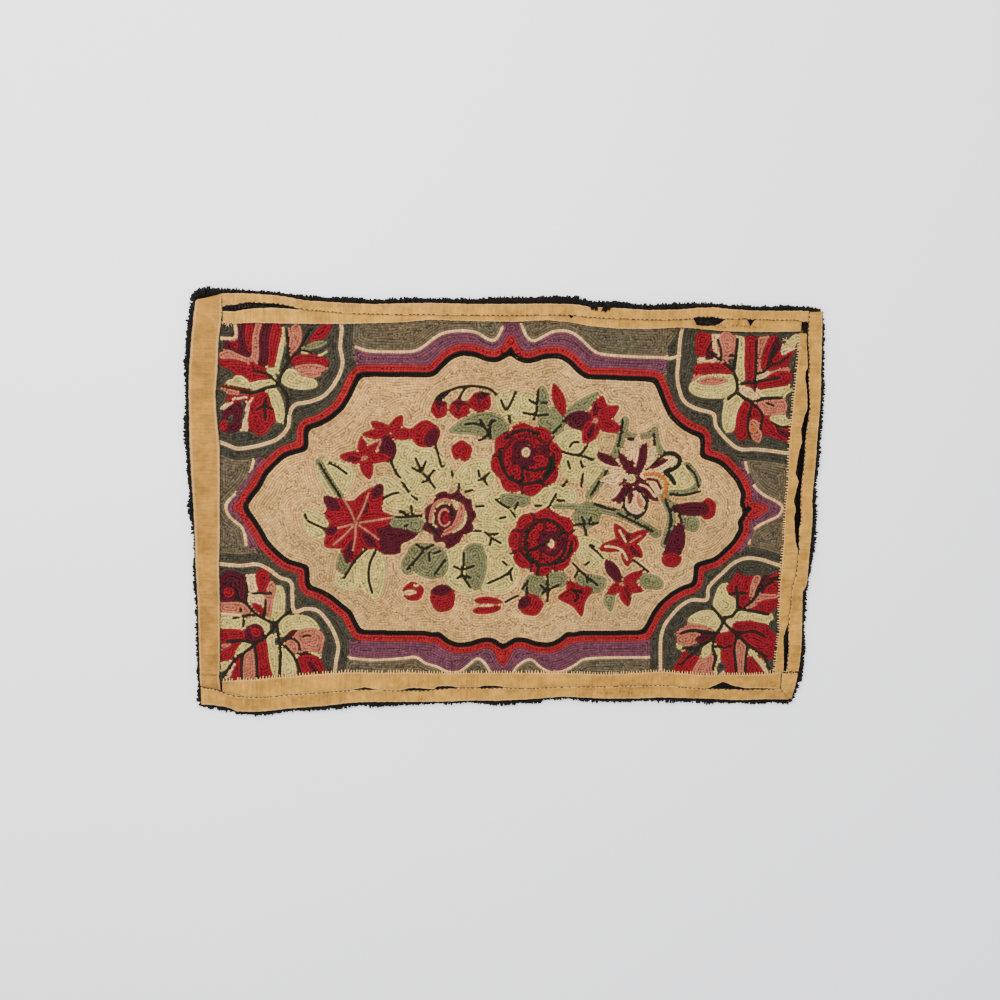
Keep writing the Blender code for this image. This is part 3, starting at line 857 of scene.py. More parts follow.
def visible_ground(pattern):
    """Cells of the ground that the tapes leave open, with a little beneath their edges."""
    x, y = pattern.x, pattern.y
    under = 2.5
    allowed = (y < TOP_INNER_NEAR(x) + under) & (y > BOTTOM_INNER_NEAR(x) - under)
    allowed &= (x > LEFT_NEAR(y) - under) & (x < RIGHT_INNER_NEAR(y) + under)
    for rows, upright in ((TOP, False), (RIGHT, True), (BOTTOM, False)):
        along, across = (y, x) if upright else (x, y)
        outer = column_reader(rows, "outer_near")(along)
        inner = column_reader(rows, "inner_far")(along)
        outward = outward_side(rows)
        between = ((across - inner) * outward > -under) & ((outer - across) * outward > -under)
        allowed |= between & ((outer - inner) * outward > 0.3)
    return allowed


def wander(x, y):
    """Unevenness that lets the rows of the field wander, as hooked by hand."""
    slow = np.sin(x / 11.0 + 2.3 * np.sin(y / 27.0)) + np.sin(y / 9.0 + 2.0 * np.sin(x / 23.0))
    quick = np.sin(x / 3.9 + 1.9 * np.sin(y / 8.0)) * np.sin(y / 4.3 + 1.4 * np.sin(x / 9.0))
    return 0.9 * slow + 0.65 * quick


def hook_rows(pattern, rows):
    """Fill the whole pattern with stitches: its lines first, then rows that echo each edge."""
    layer = RowLayer(pattern, rows, visible_ground(pattern))
    for line, region, width in pattern.lines:
        layer.follow(line, 0.5, region, width)
    distance = blurred(distance_to_edges(pattern.region), 2)
    distance += wander(pattern.x, pattern.y) * np.clip((distance - 4.0) / 12.0, 0.0, 1.0)
    pitch = rows.row_pitch / MM
    levels = int(distance.max() / pitch) + 1
    for level in range(levels):
        for line in contour_lines(distance, (level + 0.5) * pitch):
            layer.follow(line, 0.42)

    slope_y, slope_x = np.gradient(blurred(distance, 4))
    for length, width, empty, limit in ((3.8, 3.0, 0.95, 0.45), (2.8, 2.2, 0.6, 0.5)):
        open_cells = blurred((~layer.covered).astype(float), 1) > empty
        for row, column in zip(*np.nonzero(open_cells)):
            if layer.covered[row, column]:
                continue
            turn = math.atan2(slope_x[row, column], -slope_y[row, column])
            layer.lay(pattern.x[row, column], pattern.y[row, column], turn, length, width,
                      limit)
    return layer.stitches


# The medallion: its middle, the widths of its bands and the tips of its four points
MEDALLION_MIDDLE = (-7.0, 0.0)
RED_BAND = 32.0
BLACK_BAND = 13.5
CHARCOAL_BAND = 44.0
CREAM_LINE = 4.2
CORNER_LINE = 5.2
PETAL_JOIN = 5.3
RED_TIPS = (((-6, 200), (-6, 240)), ((-7, -186), (-7, -224)), ((-345, -1), (-378, -1)),
            ((330, 2), (366, 8)))
BLACK_TIPS = (((-6, 206), (-6, 222), 11), ((-7, -186), (-7, -200), 10),
              ((-346, 0), (-362, 0), 12), ((330, 4), (342, 6), 11))

# Beyond this far from the middle the medallion's edge runs past the corners
CORNER_START_X = 212
CORNER_START_Y = 62


def quarter_outline(reach, hump, straight, step):
    """Quarter of the medallion from its upper tip to its side tip, for given sizes."""
    return [
        (0, hump + 5), (9, hump - 2), (18, hump - 6), (32, hump - 5), (48, hump + 1),
        (66, hump + 2), (79, hump - 4), (90, hump - 15), (99, straight + 3),
        (107, straight), (150, straight - 0.5), (198, straight - 1.5),
        (204, straight - 12), (211, straight - 28), (222, step + 27), (238, step + 13),
        (254, step + 4), (268, step), (269, step - 28), (282, step - 32),
        (298, step - 37), (311, step - 49), (323, step - 62), (332, step - 80),
        (reach - 9, 14), (reach, 0),
    ]


def medallion_outline():
    """Whole outline of the medallion's field, from its four quarters."""
    quarters = (
        ((1, 1), quarter_outline(338, 206, 181, 105)),
        ((1, -1), quarter_outline(336, 187, 172, 101)),
        ((-1, -1), quarter_outline(350, 187, 172, 108)),
        ((-1, 1), quarter_outline(350, 206, 178, 105)),
    )
    line = []
    for (side_x, side_y), quarter in quarters:
        places = [(MEDALLION_MIDDLE[0] + side_x * x, MEDALLION_MIDDLE[1] + side_y * y)
                  for x, y in quarter]
        line += places[:-1] if side_x == side_y else places[:0:-1]
    return rounded_corners(line)


def draw_medallion(pattern):
    """Border bands of the medallion, one inside another, and its beige field."""
    pattern.layer = BORDER
    pattern.paint(EVERYWHERE, np.ones(pattern.x.shape, bool), "olive")
    top = [(-214, 216), (-196, 211), (-165, 210.5), (-138, 212), (-124, 218), (-108, 231),
           (-94, 238), (-72, 241), (-52, 239), (-40, 232), (-30, 229), (-24, 234), (-18, 247),
           (-12, 262), (2, 262), (8, 250), (15, 236), (24, 230), (35, 235), (50, 243),
           (66, 245), (80, 241), (92, 232), (106, 220), (120, 215), (160, 213), (210, 213)]
    bottom = [(-222, -211), (-190, -214), (-150, -212), (-130, -210), (-116, -219),
              (-100, -224), (-84, -232), (-68, -231), (-56, -222), (-43, -212), (-32, -220),
              (-20, -240), (4, -240), (12, -226), (22, -217), (34, -214), (48, -226),
              (64, -233), (82, -230), (98, -221), (112, -213), (160, -211), (214, -211)]
    left = [(-341, 85), (-348, 62), (-354, 42), (-363, 27), (-376, 14), (-385, 3), (-384, -9),
            (-376, -19), (-366, -27), (-361, -40), (-360, -54)]
    right = [(327, 73), (333, 56), (343, 38), (357, 26), (374, 18), (386, 9), (380, -4),
             (364, -12), (350, -20), (342, -31), (340, -45)]
    straight = [(-214, 190), (206, 190)]
    pattern.outline("mauve", top + straight[::-1])
    pattern.outline("mauve", bottom + [(214, -170), (-222, -170)])
    pattern.outline("mauve", left + [(-320, -70), (-320, 85)])
    pattern.outline("mauve", right + [(300, -45), (300, 73)])
    for points in (top[:13], top[15:], bottom[:12], bottom[12:], left, right):
        pattern.line("cream", points, CREAM_LINE)
    draw_corner_grounds(pattern)
    pattern.layer = BORDER
    pattern.outline("olive", [(204, 262), (224, 262), (222, 246), (204, 220)])
    pattern.line("cream", [(200, 213), (213, 212), (225, 216)], CREAM_LINE)
    field = medallion_outline()
    pattern.band("border_red", field, RED_BAND, closed=True)
    draw_corner_edges(pattern, field)
    for base, tip in RED_TIPS:
        pattern.petal("border_red", base, tip, 26, 0.3)
    pattern.band("black", field, BLACK_BAND, closed=True)
    for base, tip, width in BLACK_TIPS:
        pattern.petal("black", base, tip, width, 0.3)
    pattern.layer = FIELD
    window, mask = pattern.inside(field)
    pattern.paint(window, mask, "beige")


# The cream line round each corner, from the long side to the short side
CORNER_LINES = (
    [(-233, 250), (-231, 238), (-233, 215), (-230, 193), (-238, 171), (-254, 151), (-274, 142),
     (-292, 138), (-300, 126), (-302, 108), (-316, 92), (-336, 84), (-352, 80), (-370, 78),
     (-385, 84), (-398, 88)],
    [(229, 258), (226, 240), (225, 215), (224, 190), (228, 170), (236, 154), (252, 145),
     (268, 141), (279, 137), (281, 125), (287, 115), (301, 101), (318, 90), (340, 90),
     (365, 88), (396, 84)],
    [(-243, -240), (-240, -215), (-237, -195), (-243, -174), (-254, -155), (-266, -143),
     (-282, -141), (-297, -145), (-299, -122), (-301, -103), (-316, -97), (-330, -86),
     (-346, -79), (-366, -81), (-384, -80), (-402, -78)],
    [(221, -240), (220, -212), (219, -185), (223, -165), (233, -149), (247, -134), (262, -126),
     (283, -126), (284, -110), (291, -100), (305, -86), (320, -72), (338, -65), (360, -67),
     (376, -72), (398, -78)],
)
CORNER_TIPS = ((-420, 290), (420, 290), (-420, -290), (420, -290))
STRIPED_WIDTH = 30.0


def draw_corner_grounds(pattern):
    """Charcoal ground of each corner, and the cream line that crosses it."""
    pattern.layer = CORNERS
    for points, tip in zip(CORNER_LINES, CORNER_TIPS):
        pattern.band("charcoal", points, STRIPED_WIDTH)
        line = smooth_line(points)
        pattern.outline("charcoal", np.vstack([line, [(points[-1][0], tip[1])]]))
    for points in CORNER_LINES:
        pattern.line("cream", points, CORNER_LINE)


def draw_corner_edges(pattern, field):
    """Charcoal seam that keeps the corners' lines clear of the red band, mauve at the sides."""
    ring = np.vstack([field, field[:1]])
    masks = []
    for width in (CHARCOAL_BAND, RED_BAND):
        window, near = pattern.near(ring, width)
        mask = np.zeros(pattern.x.shape, bool)
        mask[window] = near
        masks.append(mask)
    seam = masks[0] & ~masks[1] & (np.abs(pattern.x + 2) > CORNER_START_X)
    slanted = np.abs(pattern.y - 3) > CORNER_START_Y
    pattern.layer = CORNERS
    pattern.paint(EVERYWHERE, seam & slanted, "charcoal")
    pattern.layer = BORDER
    pattern.paint(EVERYWHERE, seam & ~slanted, "mauve")


def draw_corner_top_left(pattern):
    """Lobes and veins of the top left corner."""
    p = pattern
    first = p.count
    p.petal("pink", (-352, 190), (-392, 203), 14)
    p.petal("red", (-346, 186), (-392, 192), 12)
    p.patch("maroon", (-368, 243), (-345, 243), (-346, 222), (-351, 203), (-366, 204),
            (-385, 218), (-372, 228))
    p.petal("red", (-352, 204), (-350, 250), 12)
    p.petal("red", (-366, 206), (-372, 224), 9)
    p.line("cream", [(-369, 241), (-368, 224), (-378, 222), (-388, 222)], 4.5)
    p.petal("pink", (-346, 194), (-337, 250), 12)
    p.petal("maroon", (-333, 190), (-326, 252), 18)
    p.petal("red", (-324, 184), (-314, 250), 15, 0.6, 0.5)
    p.petal("leaf_cream", (-318, 172), (-304, 240), 7)
    p.petal("leaf_cream", (-312, 178), (-328, 184), 6)
    p.petal("red", (-332, 181), (-388, 186), 9)
    p.petal("red", (-326, 172), (-354, 174), 15)
    p.petal("leaf_cream", (-316, 166), (-352, 160), 14)
    p.petal("leaf_cream", (-348, 160), (-384, 166), 12)
    p.petal("rust", (-352, 156), (-388, 160), 5)
    p.petal("pink", (-360, 150), (-392, 158), 5)
    p.petal("red", (-345, 148), (-384, 140), 8)
    p.petal("cream", (-352, 147), (-376, 143), 5)
    p.petal("cream", (-368, 138), (-392, 130), 7)
    p.petal("maroon", (-362, 140), (-382, 98), 30, 0.5, 0.6)
    p.petal("red", (-384, 118), (-388, 100), 12)
    p.petal("charcoal", (-374, 124), (-380, 110), 8)
    p.line("cream", [(-340, 146), (-352, 138), (-357, 122), (-360, 104)], 6)
    p.petal("red", (-334, 153), (-340, 95), 34, 0.5, 0.5)
    p.petal("leaf_cream", (-322, 160), (-308, 112), 16, 0.4, 0.5)
    p.close_gaps(first, PETAL_JOIN)
    p.line("stem", [(-331, 145), (-332, 134), (-332, 116)])
    p.line("stem", [(-344, 129), (-332, 136), (-322, 131)], 3.0)
    p.petal("pink", (-299, 200), (-288, 246), 20)
    p.petal("pink", (-300, 205), (-300, 240), 10)
    p.petal("red", (-278, 214), (-243, 246), 15, 0.6)
    p.petal("sage", (-286, 210), (-248, 222), 10)
    p.line("leaf_cream", [(-284, 207), (-262, 203), (-250, 209)], 3.2)
    p.petal("red", (-302, 196), (-246, 194), 20, 0.55, 0.5)
    p.petal("leaf_cream", (-312, 176), (-262, 164), 26, 0.35, 0.5)
    p.petal("pink", (-298, 186), (-248, 186), 13)
    p.petal("pink", (-290, 178), (-256, 178), 9)
    p.line("stem", [(-313, 163), (-311, 176), (-302, 190), (-301, 210), (-303, 238)], 4.0)
    p.line("stem", [(-302, 190), (-294, 203), (-284, 209), (-270, 207)], 3.0)
    p.line("stem", [(-286, 211), (-280, 224), (-272, 238)], 3.0)
    p.line("stem", [(-313, 163), (-322, 172), (-330, 178), (-345, 181)], 3.2)
    p.line("stem", [(-313, 163), (-330, 159), (-346, 153), (-364, 153)], 4.2)
    p.line("stem", [(-313, 163), (-304, 152), (-302, 135), (-306, 114)], 4.0)
    p.line("charcoal", [(-362, 140), (-359, 128), (-363, 112)], 3.3)


def draw_corner_top_right(pattern):
    """Lobes and veins of the top right corner."""
    p = pattern
    first = p.count
    p.patch("red", (248, 246), (262, 248), (270, 236), (267, 222), (249, 219))
    p.petal("maroon", (262, 222), (281, 212), 12)
    p.arc("cream", (262, 228), (24, 20), 55, -110, 5.4)
    p.petal("cream", (270, 240), (281, 218), 7)
    p.petal("pink", (290, 206), (290, 252), 24, 0.6, 0.5)
    p.petal("red", (300, 196), (246, 200), 19, 0.55, 0.5)
    p.petal("pink", (303, 186), (244, 186), 12)
    p.petal("leaf_cream", (314, 180), (240, 172), 34, 0.5, 0.5)
    p.petal("pink", (298, 184), (250, 182), 12)
    p.petal("leaf_cream", (308, 166), (298, 112), 26, 0.4, 0.5)
    p.petal("leaf_cream", (316, 182), (309, 246), 12, 0.5, 0.5)
    p.petal("red", (326, 184), (325, 248), 17, 0.5, 0.45)
    p.petal("pink", (336, 194), (342, 214), 9)
    p.petal("pink", (338, 215), (344, 246), 14, 0.55, 0.5)
    p.petal("red", (342, 200), (358, 250), 14)
    p.petal("maroon", (350, 206), (364, 246), 9)
    p.petal("red", (352, 208), (388, 224), 12)
    p.petal("cream", (368, 219), (384, 231), 5)
    p.petal("leaf_cream", (374, 233), (398, 250), 13)
    p.petal("red", (346, 202), (382, 208), 11)
    p.petal("pink", (352, 194), (384, 202), 10)
    p.petal("cream", (336, 188), (356, 197), 9)
    p.petal("red", (336, 178), (388, 194), 20, 0.6, 0.5)
    p.petal("red", (331, 166), (325, 184), 13, 0.5, 0.5)
    p.petal("leaf_cream", (330, 161), (390, 174), 14)
    p.petal("cream", (314, 176), (342, 162), 12)
    p.petal("pink", (338, 152), (384, 150), 22, 0.45, 0.5)
    p.petal("red", (324, 156), (318, 100), 22, 0.45, 0.5)
    p.petal("leaf_cream", (358, 132), (392, 128), 12)
    p.petal("red", (332, 150), (344, 128), 14)
    p.petal("pink", (332, 132), (346, 98), 18, 0.4, 0.5)
    p.petal("orange", (334, 126), (338, 114), 5)
    p.patch("red", (352, 134), (372, 122), (390, 122), (390, 102), (366, 106), (350, 116))
    p.petal("maroon", (368, 120), (390, 108), 9)
    p.close_gaps(first, PETAL_JOIN)
    p.line("stem", [(310, 170), (309, 182), (304, 196), (305, 215), (306, 240)], 4.4)
    p.line("stem", [(304, 196), (296, 203), (288, 208)], 3.2)
    p.line("stem", [(296, 219), (306, 219)], 3.0)
    p.line("stem", [(310, 170), (303, 163), (297, 158)], 4.0)
    p.line("stem", [(310, 168), (322, 160), (334, 156), (350, 161), (372, 162)], 4.4)
    p.line("stem", [(314, 180), (326, 182), (334, 184), (334, 210), (333, 240)], 3.6)
    p.line("stem", [(334, 194), (347, 198), (354, 212), (360, 232)], 3.2)
    p.line("stem", [(350, 204), (366, 210), (380, 220)], 3.0)
    p.line("stem", [(338, 184), (354, 187), (370, 190)], 3.4)
    p.line("stem", [(334, 184), (335, 170)], 3.0)
    p.line("stem", [(334, 156), (329, 140), (328, 120), (333, 104)], 3.4)
    p.line("stem", [(336, 152), (348, 138), (346, 118)], 3.6)
    p.line("stem", [(352, 155), (364, 151)], 3.2)
    p.line("stem", [(362, 128), (376, 122), (390, 124)], 3.0)
    p.line("stem", [(270, 234), (266, 224), (280, 214), (284, 210), (284, 224), (278, 240)], 3.0)


def draw_corner_bottom_left(pattern):
    """Lobes and veins of the bottom left corner."""
    p = pattern
    first = p.count
    p.patch("maroon", (-394, -94), (-380, -88), (-362, -98), (-362, -124), (-378, -131),
            (-396, -126))
    p.blob("red", (-384, -118), (8, 8))
    p.petal("cream", (-350, -122), (-355, -92), 13, 0.5, 0.5)
    p.petal("red", (-339, -122), (-338, -84), 20, 0.6, 0.5)
    p.petal("pink", (-334, -150), (-326, -100), 13, 0.5, 0.5)
    p.petal("leaf_cream", (-320, -162), (-314, -108), 17, 0.5, 0.5)
    p.patch("cream", (-358, -120), (-338, -122), (-336, -142), (-346, -140), (-358, -130))
    p.petal("red", (-354, -132), (-334, -148), 9)
    p.petal("pink", (-346, -148), (-398, -138), 20, 0.5, 0.5)
    p.line("cream", [(-350, -151), (-372, -150), (-396, -148)], 4)
    p.patch("leaf_cream", (-396, -156), (-366, -155), (-366, -169), (-380, -171), (-396, -166))
    p.patch("leaf_cream", (-362, -158), (-346, -153), (-330, -162), (-338, -176), (-350, -164),
            (-362, -166))
    p.petal("red", (-362, -176), (-402, -182), 20, 0.6, 0.4)
    p.blob("maroon", (-350, -175), (13, 13))
    p.petal("red", (-356, -168), (-342, -180), 14)
    p.petal("red", (-344, -186), (-334, -246), 22, 0.45, 0.4)
    p.petal("red", (-340, -232), (-320, -236), 9)
    p.petal("leaf_cream", (-330, -176), (-322, -244), 12, 0.5, 0.5)
    p.petal("pink", (-354, -196), (-362, -246), 21, 0.5, 0.4)
    p.petal("leaf_cream", (-354, -190), (-376, -204), 9)
    p.petal("pink", (-384, -190), (-394, -202), 12)
    p.petal("red", (-372, -190), (-402, -214), 12)
    p.petal("red", (-374, -212), (-378, -246), 12)
    p.petal("cream", (-376, -214), (-392, -240), 7)
    p.petal("leaf_cream", (-388, -218), (-402, -230), 8)
    p.patch("leaf_cream", (-318, -180), (-316, -160), (-298, -150), (-276, -152), (-262, -168),
            (-270, -174), (-292, -170), (-304, -178))
    p.patch("pink", (-306, -186), (-294, -174), (-272, -168), (-256, -178), (-258, -194),
            (-262, -206), (-284, -206), (-300, -204))
    p.petal("rust", (-312, -186), (-294, -170), 8)
    p.line("leaf_cream", [(-292, -206), (-276, -203), (-262, -208)], 4)
    p.patch("red", (-292, -212), (-276, -207), (-260, -216), (-256, -240), (-290, -240))
    p.petal("maroon", (-280, -214), (-264, -236), 8)
    p.petal("leaf_cream", (-314, -194), (-302, -246), 22, 0.6, 0.4)
    p.close_gaps(first, PETAL_JOIN)
    p.line("stem", [(-322, -162), (-336, -156), (-350, -147), (-362, -133), (-376, -128)], 4.2)
    p.line("stem", [(-362, -133), (-360, -118), (-361, -104)], 3.6)
    p.line("stem", [(-371, -128), (-376, -112), (-372, -118)], 3.0)
    p.line("stem", [(-350, -150), (-364, -151), (-380, -155)], 3.4)
    p.line("stem", [(-365, -153), (-366, -167)], 3.0)
    p.line("stem", [(-337, -152), (-336, -140), (-335, -128)], 3.4)
    p.line("stem", [(-353, -120), (-342, -119), (-330, -120)], 3.4)
    p.line("stem", [(-322, -162), (-312, -152), (-303, -146)], 4.0)
    p.line("stem", [(-322, -162), (-330, -175), (-342, -185), (-352, -190)], 4.0)
    p.line("stem", [(-320, -166), (-318, -185), (-316, -205), (-318, -240)], 4.2)
    p.line("stem", [(-317, -188), (-306, -198), (-296, -212), (-289, -236)], 4.2)
    p.line("stem", [(-312, -184), (-300, -183), (-291, -190), (-290, -200)], 3.2)
    p.line("stem", [(-292, -205), (-280, -204), (-270, -206)], 3.0)
    p.line("stem", [(-352, -190), (-368, -186), (-388, -187)], 4.0)
    p.line("stem", [(-350, -192), (-364, -202), (-378, -213), (-394, -238)], 4.0)
    p.line("stem", [(-367, -204), (-369, -222), (-369, -242)], 3.4)
    p.line("stem", [(-351, -192), (-349, -214), (-348, -240)], 3.6)
    p.line("stem", [(-286, -181), (-280, -178), (-274, -180)], 3.0)
    p.line("stem", [(-369, -140), (-368, -145)], 3.4)
    p.line("stem", [(-384, -110), (-380, -104)], 3.4)


def draw_corner_bottom_right(pattern):
    """Lobes and veins of the bottom right corner."""
    p = pattern
    first = p.count
    p.patch("leaf_cream", (303, -102), (313, -104), (316, -120), (327, -136), (320, -150),
            (306, -150), (293, -138), (295, -118))
    p.patch("red", (310, -108), (318, -98), (326, -84), (333, -96), (330, -112), (318, -118))
    p.petal("red", (338, -122), (342, -90), 20, 0.5, 0.5)
    p.petal("pink", (349, -124), (356, -88), 13, 0.5, 0.5)
    p.petal("maroon", (358, -112), (370, -90), 8)
    p.petal("red", (370, -114), (392, -106), 14)
    p.petal("red", (372, -92), (392, -86), 8)
    p.blob("red", (338, -127), (9, 10))
    p.petal("pink", (348, -132), (390, -118), 9)
    p.petal("red", (352, -138), (392, -130), 18, 0.55, 0.5)
    p.petal("pink", (340, -138), (360, -130), 6)
    p.petal("leaf_cream", (312, -156), (352, -150), 12)
    p.petal("leaf_cream", (340, -150), (386, -154), 11)
    p.petal("cream", (314, -166), (332, -158), 8)
    p.petal("red", (322, -162), (390, -182), 24, 0.5, 0.5)
    p.petal("red", (332, -176), (390, -196), 18, 0.5, 0.5)
    p.petal("red", (360, -200), (388, -212), 16)
    p.patch("leaf_cream", (256, -156), (268, -145), (284, -141), (300, -148), (308, -158),
            (302, -170), (288, -172), (270, -162))
    p.patch("pink", (238, -176), (254, -164), (272, -161), (292, -168), (296, -172), (270, -173))
    p.petal("pink", (282, -180), (242, -188), 20, 0.6, 0.5)
    p.petal("maroon", (296, -176), (268, -186), 10)
    p.petal("leaf_cream", (252, -192), (242, -198), 8)
    p.petal("red", (240, -240), (262, -206), 18, 0.5, 0.5)
    p.petal("red", (256, -236), (276, -208), 14, 0.5, 0.5)
    p.patch("pink", (266, -240), (276, -214), (292, -188), (298, -206), (300, -226), (294, -240))
    p.petal("leaf_cream", (280, -214), (296, -188), 14)
    p.petal("leaf_cream", (304, -190), (302, -240), 9)
    p.petal("cream", (312, -164), (314, -176), 12)
    p.blob("red", (315, -184), (15, 11))
    p.petal("red", (314, -190), (326, -246), 20, 0.5, 0.4)
    p.petal("charcoal", (308, -216), (312, -236), 14)
    p.petal("cream", (312, -230), (316, -246), 10)
    p.petal("pink", (334, -180), (340, -246), 18, 0.5, 0.4)
    p.patch("red", (350, -216), (360, -214), (374, -232), (376, -242), (350, -242))
    p.line("leaf_cream", [(353, -198), (360, -210), (372, -224), (380, -236)], 6)
    p.close_gaps(first, PETAL_JOIN)
    p.line("stem", [(309, -158), (302, -148), (292, -137)], 4.4)
    p.line("stem", [(309, -152), (322, -150), (330, -140), (350, -142), (374, -147)], 4.6)
    p.line("stem", [(329, -138), (328, -122), (325, -106)], 4.6)
    p.line("stem", [(316, -118), (328, -116), (342, -116)], 3.4)
    p.line("stem", [(340, -136), (352, -125), (362, -110), (380, -98)], 3.8)
    p.line("stem", [(354, -118), (360, -102), (366, -94)], 3.2)
    p.line("stem", [(376, -96), (390, -92)], 5.0)
    p.line("stem", [(309, -158), (320, -168), (332, -178), (350, -194), (376, -210)], 4.6)
    p.line("stem", [(322, -172), (340, -174), (356, -172), (372, -180)], 3.6)
    p.line("stem", [(309, -160), (303, -172), (297, -180), (286, -190), (270, -197),
                    (254, -197)], 4.6)
    p.line("stem", [(297, -180), (296, -196), (301, -212), (298, -228)], 4.6)
    p.line("stem", [(247, -176), (262, -171), (280, -172), (296, -174)], 4.0)
    p.line("stem", [(276, -198), (262, -210), (250, -222)], 3.4)
    p.line("stem", [(300, -194), (312, -197), (322, -194)], 3.0)
    p.line("stem", [(330, -180), (328, -200), (332, -222), (334, -242)], 3.8)
    p.line("stem", [(348, -192), (346, -212), (347, -242)], 4.0)
    p.line("stem", [(374, -212), (382, -228), (390, -236)], 3.2)
    p.line("stem", [(278, -174), (284, -176), (290, -176)], 3.0)


CREAM_LEAVES = (
    ((-285, -2), (-262, -8), (-246, -26), (-256, -44), (-280, -32)),
    ((-264, 66), (-244, 66), (-216, 52), (-226, 18), (-246, 12), (-262, 40)),
    ((-180, 44), (-140, 34), (-118, 26), (-122, 2), (-158, -2), (-180, 10)),
    ((-168, 84), (-128, 92), (-94, 72), (-82, 44), (-90, 22), (-116, 18), (-146, 30)),
    ((-64, 66), (-34, 70), (-22, 44), (-36, 24), (-60, 24), (-82, 40)),
    ((-62, 18), (-28, 28), (10, 18), (14, -12), (-16, -22), (-50, -12)),
    ((-58, -20), (-18, -20), (0, -44), (-14, -66), (-48, -60), (-62, -38)),
    ((-90, -58), (-36, -50), (-30, -100), (-58, -120), (-92, -100)),
    ((-38, -66), (4, -62), (14, -92), (-6, -116), (-44, -110)),
    ((-242, -100), (-226, -62), (-202, -54), (-196, -84), (-216, -116)),
    ((-204, -58), (-182, -54), (-172, -90), (-184, -128), (-208, -104)),
    ((-8, 122), (28, 128), (34, 156), (10, 164), (-12, 146)),
    ((62, 106), (98, 112), (118, 88), (110, 52), (80, 42), (64, 70)),
    ((42, 32), (82, 34), (90, 12), (62, 0), (30, 10)),
    ((92, -38), (124, -40), (140, -66), (120, -84), (94, -68)),
    ((112, 74), (142, 64), (132, 38), (112, 26), (98, 48)),
    ((204, 70), (250, 66), (264, 40), (238, 22), (216, 34)),
    ((-24, 156), (0, 164), (4, 136), (-18, 130)),
    ((-150, 62), (-160, 40), (-136, 24), (-126, 44)),
)
SAGE_LEAVES = (
    ((-88, 106), (-68, 124), (-40, 134), (-14, 126), (-6, 106), (-28, 96), (-54, 102)),
    ((30, 138), (32, 156), (38, 172), (48, 154), (44, 136)),
    ((34, 130), (52, 142), (72, 134), (68, 110), (50, 104), (36, 116)),
    ((72, 138), (92, 154), (116, 164), (102, 142), (82, 130)),
    ((-140, -54), (-114, -48), (-90, -60), (-88, -88), (-112, -98), (-138, -82)),
    ((-64, -54), (-42, -48), (-32, -76), (-42, -112), (-58, -106), (-62, -80)),
    ((-170, -12), (-128, -12), (-118, -28), (-144, -36), (-164, -26)),
    ((24, -94), (44, -90), (52, -112), (36, -128), (20, -112)),
    ((54, -88), (80, -90), (76, -108), (54, -106)),
    ((92, -92), (114, -90), (136, -96), (132, -114), (106, -116)),
    ((88, 0), (116, 8), (124, -12), (104, -26), (86, -14)),
    ((138, -114), (150, -112), (146, -144), (134, -130)),
    ((248, -2), (266, -12), (262, -28), (246, -22)),
    ((-232, -60), (-218, -66), (-226, -92), (-240, -82)),
    ((-14, 22), (24, 20), (20, 6), (-10, 6)),
    ((184, -88), (214, -94), (218, -110), (190, -108)),
    ((-150, -72), (-138, -62), (-134, -90), (-148, -90)),
)
SAGE_OUTLINES = (
    ([(246, 66), (256, 54), (262, 40), (246, 28), (220, 26)], 9),
    ([(154, 126), (147, 92), (132, 56), (108, 22)], 12),
    ([(196, 114), (200, 96), (206, 84)], 10),
    ([(104, 8), (146, -2), (176, -14), (206, -32)], 12),
    ([(214, 22), (226, -8), (218, -46)], 12),
    ([(158, 106), (176, 104), (196, 110)], 9),
    ([(226, 10), (238, 0), (242, -14)], 9),
    ([(-262, 62), (-246, 34), (-232, 14)], 9),
    ([(60, 6), (90, 6), (118, 4)], 7),
)


def draw_leaf_grounds(pattern):
    """Cream and sage leaves that lie behind the flowers."""
    for points in CREAM_LEAVES:
        pattern.patch("leaf_cream", *points)
    for points in SAGE_LEAVES:
        pattern.patch("sage", *points)
    for points, width in SAGE_OUTLINES:
        pattern.band("sage", points, width)


def draw_rose(pattern, centre, radii, turn, heart):
    """One rose: scalloped outer petals, a dark broken ring, inner petals and an eye."""
    p = pattern

    def spot(degrees, share):
        angle = math.radians(degrees)
        return (centre[0] + radii[0] * share * math.cos(angle),
                centre[1] + radii[1] * share * math.sin(angle))

    p.blob("red", centre, radii, 8, 0.13, turn)
    for step in range(8):
        split = turn + 45.0 * step + 22.5
        if step % 3 != 1:
            p.line("maroon", [spot(split, 0.7), spot(split + 3, 0.82), spot(split + 5, 0.94)], 3.0)
    for start, stop in ((8, 96), (112, 200), (214, 292), (306, 352)):
        p.arc("stem" if start > 200 else "rust", centre, (radii[0] * 0.66, radii[1] * 0.66),
              start + turn, stop + turn, 4.2)
    p.blob("maroon", heart, (radii[0] * 0.42, radii[1] * 0.42), 5, 0.1, turn)
    for step in range(5):
        angle = turn + 72.0 * step
        p.petal("red", spot(angle, 0.14), spot(angle, 0.58), radii[0] * 0.36, 0.6, 0.6)
    p.arc("maroon", heart, (radii[0] * 0.3, radii[1] * 0.3), turn + 40, turn + 300, 5.0)
    p.line("rust", [spot(turn + 262, 0.3), spot(turn + 266, 0.48), spot(turn + 262, 0.64)], 3.2)
    p.line("rust", [spot(turn + 18, 0.28), spot(turn + 14, 0.46), spot(turn + 20, 0.62)], 3.2)


